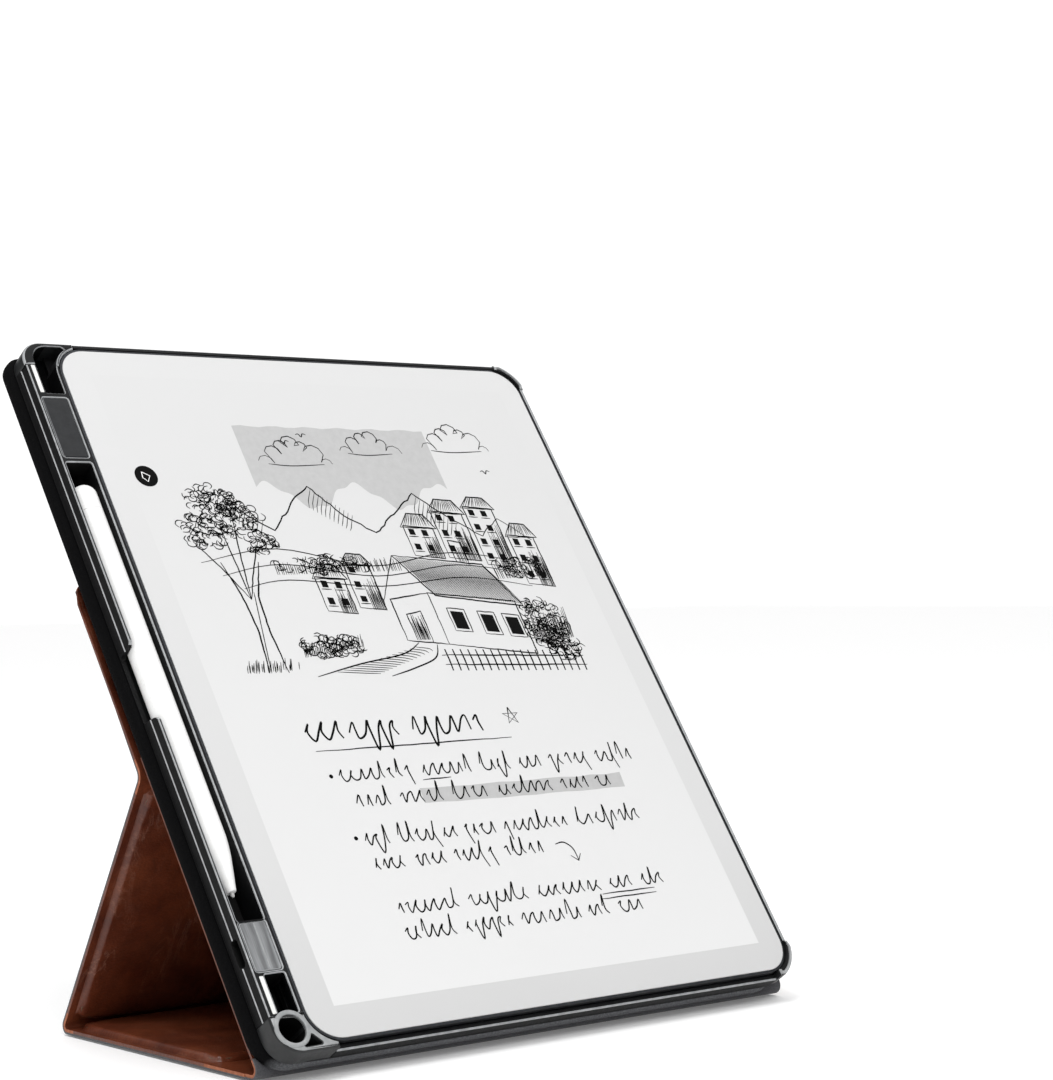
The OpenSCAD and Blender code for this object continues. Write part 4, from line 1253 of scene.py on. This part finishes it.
for name, pad, span, place, base, bend, bodies, bend_at in parts:
    free_end = 9 if name == "upper" else 0
    skins, linings = stands.get(name, ((name + "_leather",), (name + "_lining",)))
    ys = spread(*span, pad) if pad else evenly(*span, 20) if span else []
    if name == "flap":
        xs, rows, cloth_rows = flap_x, flat_rows(place, ys[:-1], base) + bend, bend
    else:
        xs, rows = padded_x if pad else plain_x, bend + flat_rows(place, ys[1:], base)
        few = [y for y in ys[1:] if y > span[1] - free_end or y == ys[-1]
               or int(y / 3) != int((y - 0.3) / 3)]
        cloth_rows = bend + flat_rows(place, few, base)
    skin = swept(name + "_leather_skin", rows, xs, soft_pad(pad) if pad else half - meet, 0.0,
                 [LEATHER, CUT_EDGE], "leather", skins, free_end)
    cloth = swept(name + "_lining_cloth", cloth_rows, plain_x, 0.0, -(half + meet), [LINING],
                  "lining", linings, free_end)

# ---------- looks of the CAD nodes that stay ----------

ALU = metal("reader_grey_aluminium", "3a3b3e", "4c4e51", 0.36)
STEEL = metal("plated_steel", "9fa2a5", "c3c6c9", 0.28)
CHASSIS = metal("cast_chassis", "85888b", "a4a7aa", 0.5)
BRASS = metal("contact_brass", "a98a4c", "cdb070", 0.35)
COPPER = metal("wound_copper", "8a4a26", "b96f3c", 0.4)
BOARD = moulded("circuit_solder_mask", "164a30", "23633f", 0.4, 0.01, on_cad=True)
WRAP = moulded("battery_wrap", "1c1e21", "2b2d31", 0.5, 0.02, on_cad=True)
RUBBER = moulded("foot_rubber", "1f2021", "2e2f31", 0.7, 0.03, on_cad=True)
LAYER = moulded("display_layer", "d9dcdd", "ebedee", 0.4, 0.005, on_cad=True)
CARD = moulded("grey_board", "6f6250", "8d7e69", 0.8, 0.05, on_cad=True)
looks = {
    ALU: ("rear_cover", "power_button"),
    STEEL: ("board_shield", "usb_port", "frame_screws", "side_magnets", "case_magnets",
            "upper_magnets", "pen_magnet"),
    CHASSIS: ("mid_frame",), BRASS: ("button_switch", "antenna_strip"), COPPER: ("pen_core",),
    BOARD: ("main_board", "pen_digitizer"), WRAP: ("battery_cells",), RUBBER: ("rubber_feet",),
    LAYER: ("front_light", "epaper_panel"), TRAY_CLOTH: ("tray_lining",),
    CARD: ("lower_board", "middle_board", "upper_board"),
}
for mat, nodes in looks.items():
    for n in nodes:
        mesh = frame["nodes"][n].data
        mesh.materials.clear()
        mesh.materials.append(mat)
for n, width in (("rear_cover", 0.12), ("power_button", 0.15), ("usb_port", 0.1),
                 ("rubber_feet", 0.1)):
    soften(frame["nodes"][n], width)

# ---------- studio ----------

FLOOR = Paint("studio_floor", 0.9, 0.1, Emission_Strength=0.14)
FLOOR.colour(FLOOR.ramp(FLOOR.noise(0.004, 2), (0.3, "f7f7f7"), (0.7, "fbfbfb")))
floor_size, floor_z = 6.0, -0.0006
ground = mesh_object("studio_floor", [(x * floor_size, y * floor_size, floor_z) for x, y in
                                      ((-1, -1), (1, -1), (1, 1), (-1, 1))], [(0, 1, 2, 3)])
ground.data.materials.append(FLOOR.mat)

world = bpy.data.worlds.new("studio")
world.use_nodes = True
sky = world.node_tree
sky.nodes["Background"].inputs[0].default_value = (1, 1, 1, 1)
bpy.context.scene.world = world


def glow(direction, start, full, strength):
    """Brightness of the studio walls around a direction."""
    way = sky.nodes.new("ShaderNodeTexCoord").outputs["Generated"]
    dot = sky.nodes.new("ShaderNodeVectorMath")
    dot.operation = "DOT_PRODUCT"
    sky.links.new(way, dot.inputs[0])
    dot.inputs[1].default_value = Vector(direction).normalized()
    ease = sky.nodes.new("ShaderNodeMapRange")
    ease.interpolation_type = "SMOOTHSTEP"
    sky.links.new(dot.outputs["Value"], ease.inputs["Value"])
    for socket, value in (("From Min", start), ("From Max", full), ("To Max", strength)):
        ease.inputs[socket].default_value = value
    return ease.outputs[0]


dim_wall, back_wall, ceiling = 0.09, 1.05, 1.35
total = sky.nodes.new("ShaderNodeMath")
total.operation, total.inputs[1].default_value = "ADD", dim_wall
both = sky.nodes.new("ShaderNodeMath")
sky.links.new(glow((0.646, 0.763, 0), 0.72, 0.94, back_wall), both.inputs[0])
sky.links.new(glow((0, 0, 1), 0.3, 1.0, ceiling), both.inputs[1])
sky.links.new(both.outputs[0], total.inputs[0])
sky.links.new(total.outputs[0], sky.nodes["Background"].inputs[1])


def area_light(name, at, target, size, power):
    data = bpy.data.lights.new(name, "AREA")
    data.shape, data.size, data.energy = "DISK", size, power
    lamp = bpy.data.objects.new(name, data)
    lamp.location = at
    lamp.rotation_euler = (Vector(target) - Vector(at)).to_track_quat("-Z", "Y").to_euler()
    bpy.context.scene.collection.objects.link(lamp)


middle = (0, 0, 0.1)
area_light("key", (-0.3, -1.5, 1.6), middle, 0.9, 11)
area_light("side", (-0.7, -0.3, 1.7), middle, 0.6, 8)

# The camera's axes and place, fitted to the glass's corners in the photograph.
right = Vector((0.7635, -0.6457, -0.0144)).normalized()
ahead = Vector((0.6459, 0.7634, 0.0112))
ahead = (ahead - right * ahead.dot(right)).normalized()
eye = (-0.5044, -0.6386, 0.13905)
upward = right.cross(ahead)
lens = bpy.data.cameras.new("camera")
lens.sensor_width, lens.lens = 36.0, 85.85
lens.clip_start, lens.clip_end = 0.05, 30
camera = bpy.data.objects.new("camera", lens)
camera.matrix_world = Matrix([(right[i], upward[i], -ahead[i], eye[i]) for i in range(3)]
                             + [(0, 0, 0, 1)])
bpy.context.scene.collection.objects.link(camera)
bpy.context.scene.camera = camera
bpy.context.scene.view_settings.view_transform = "Standard"
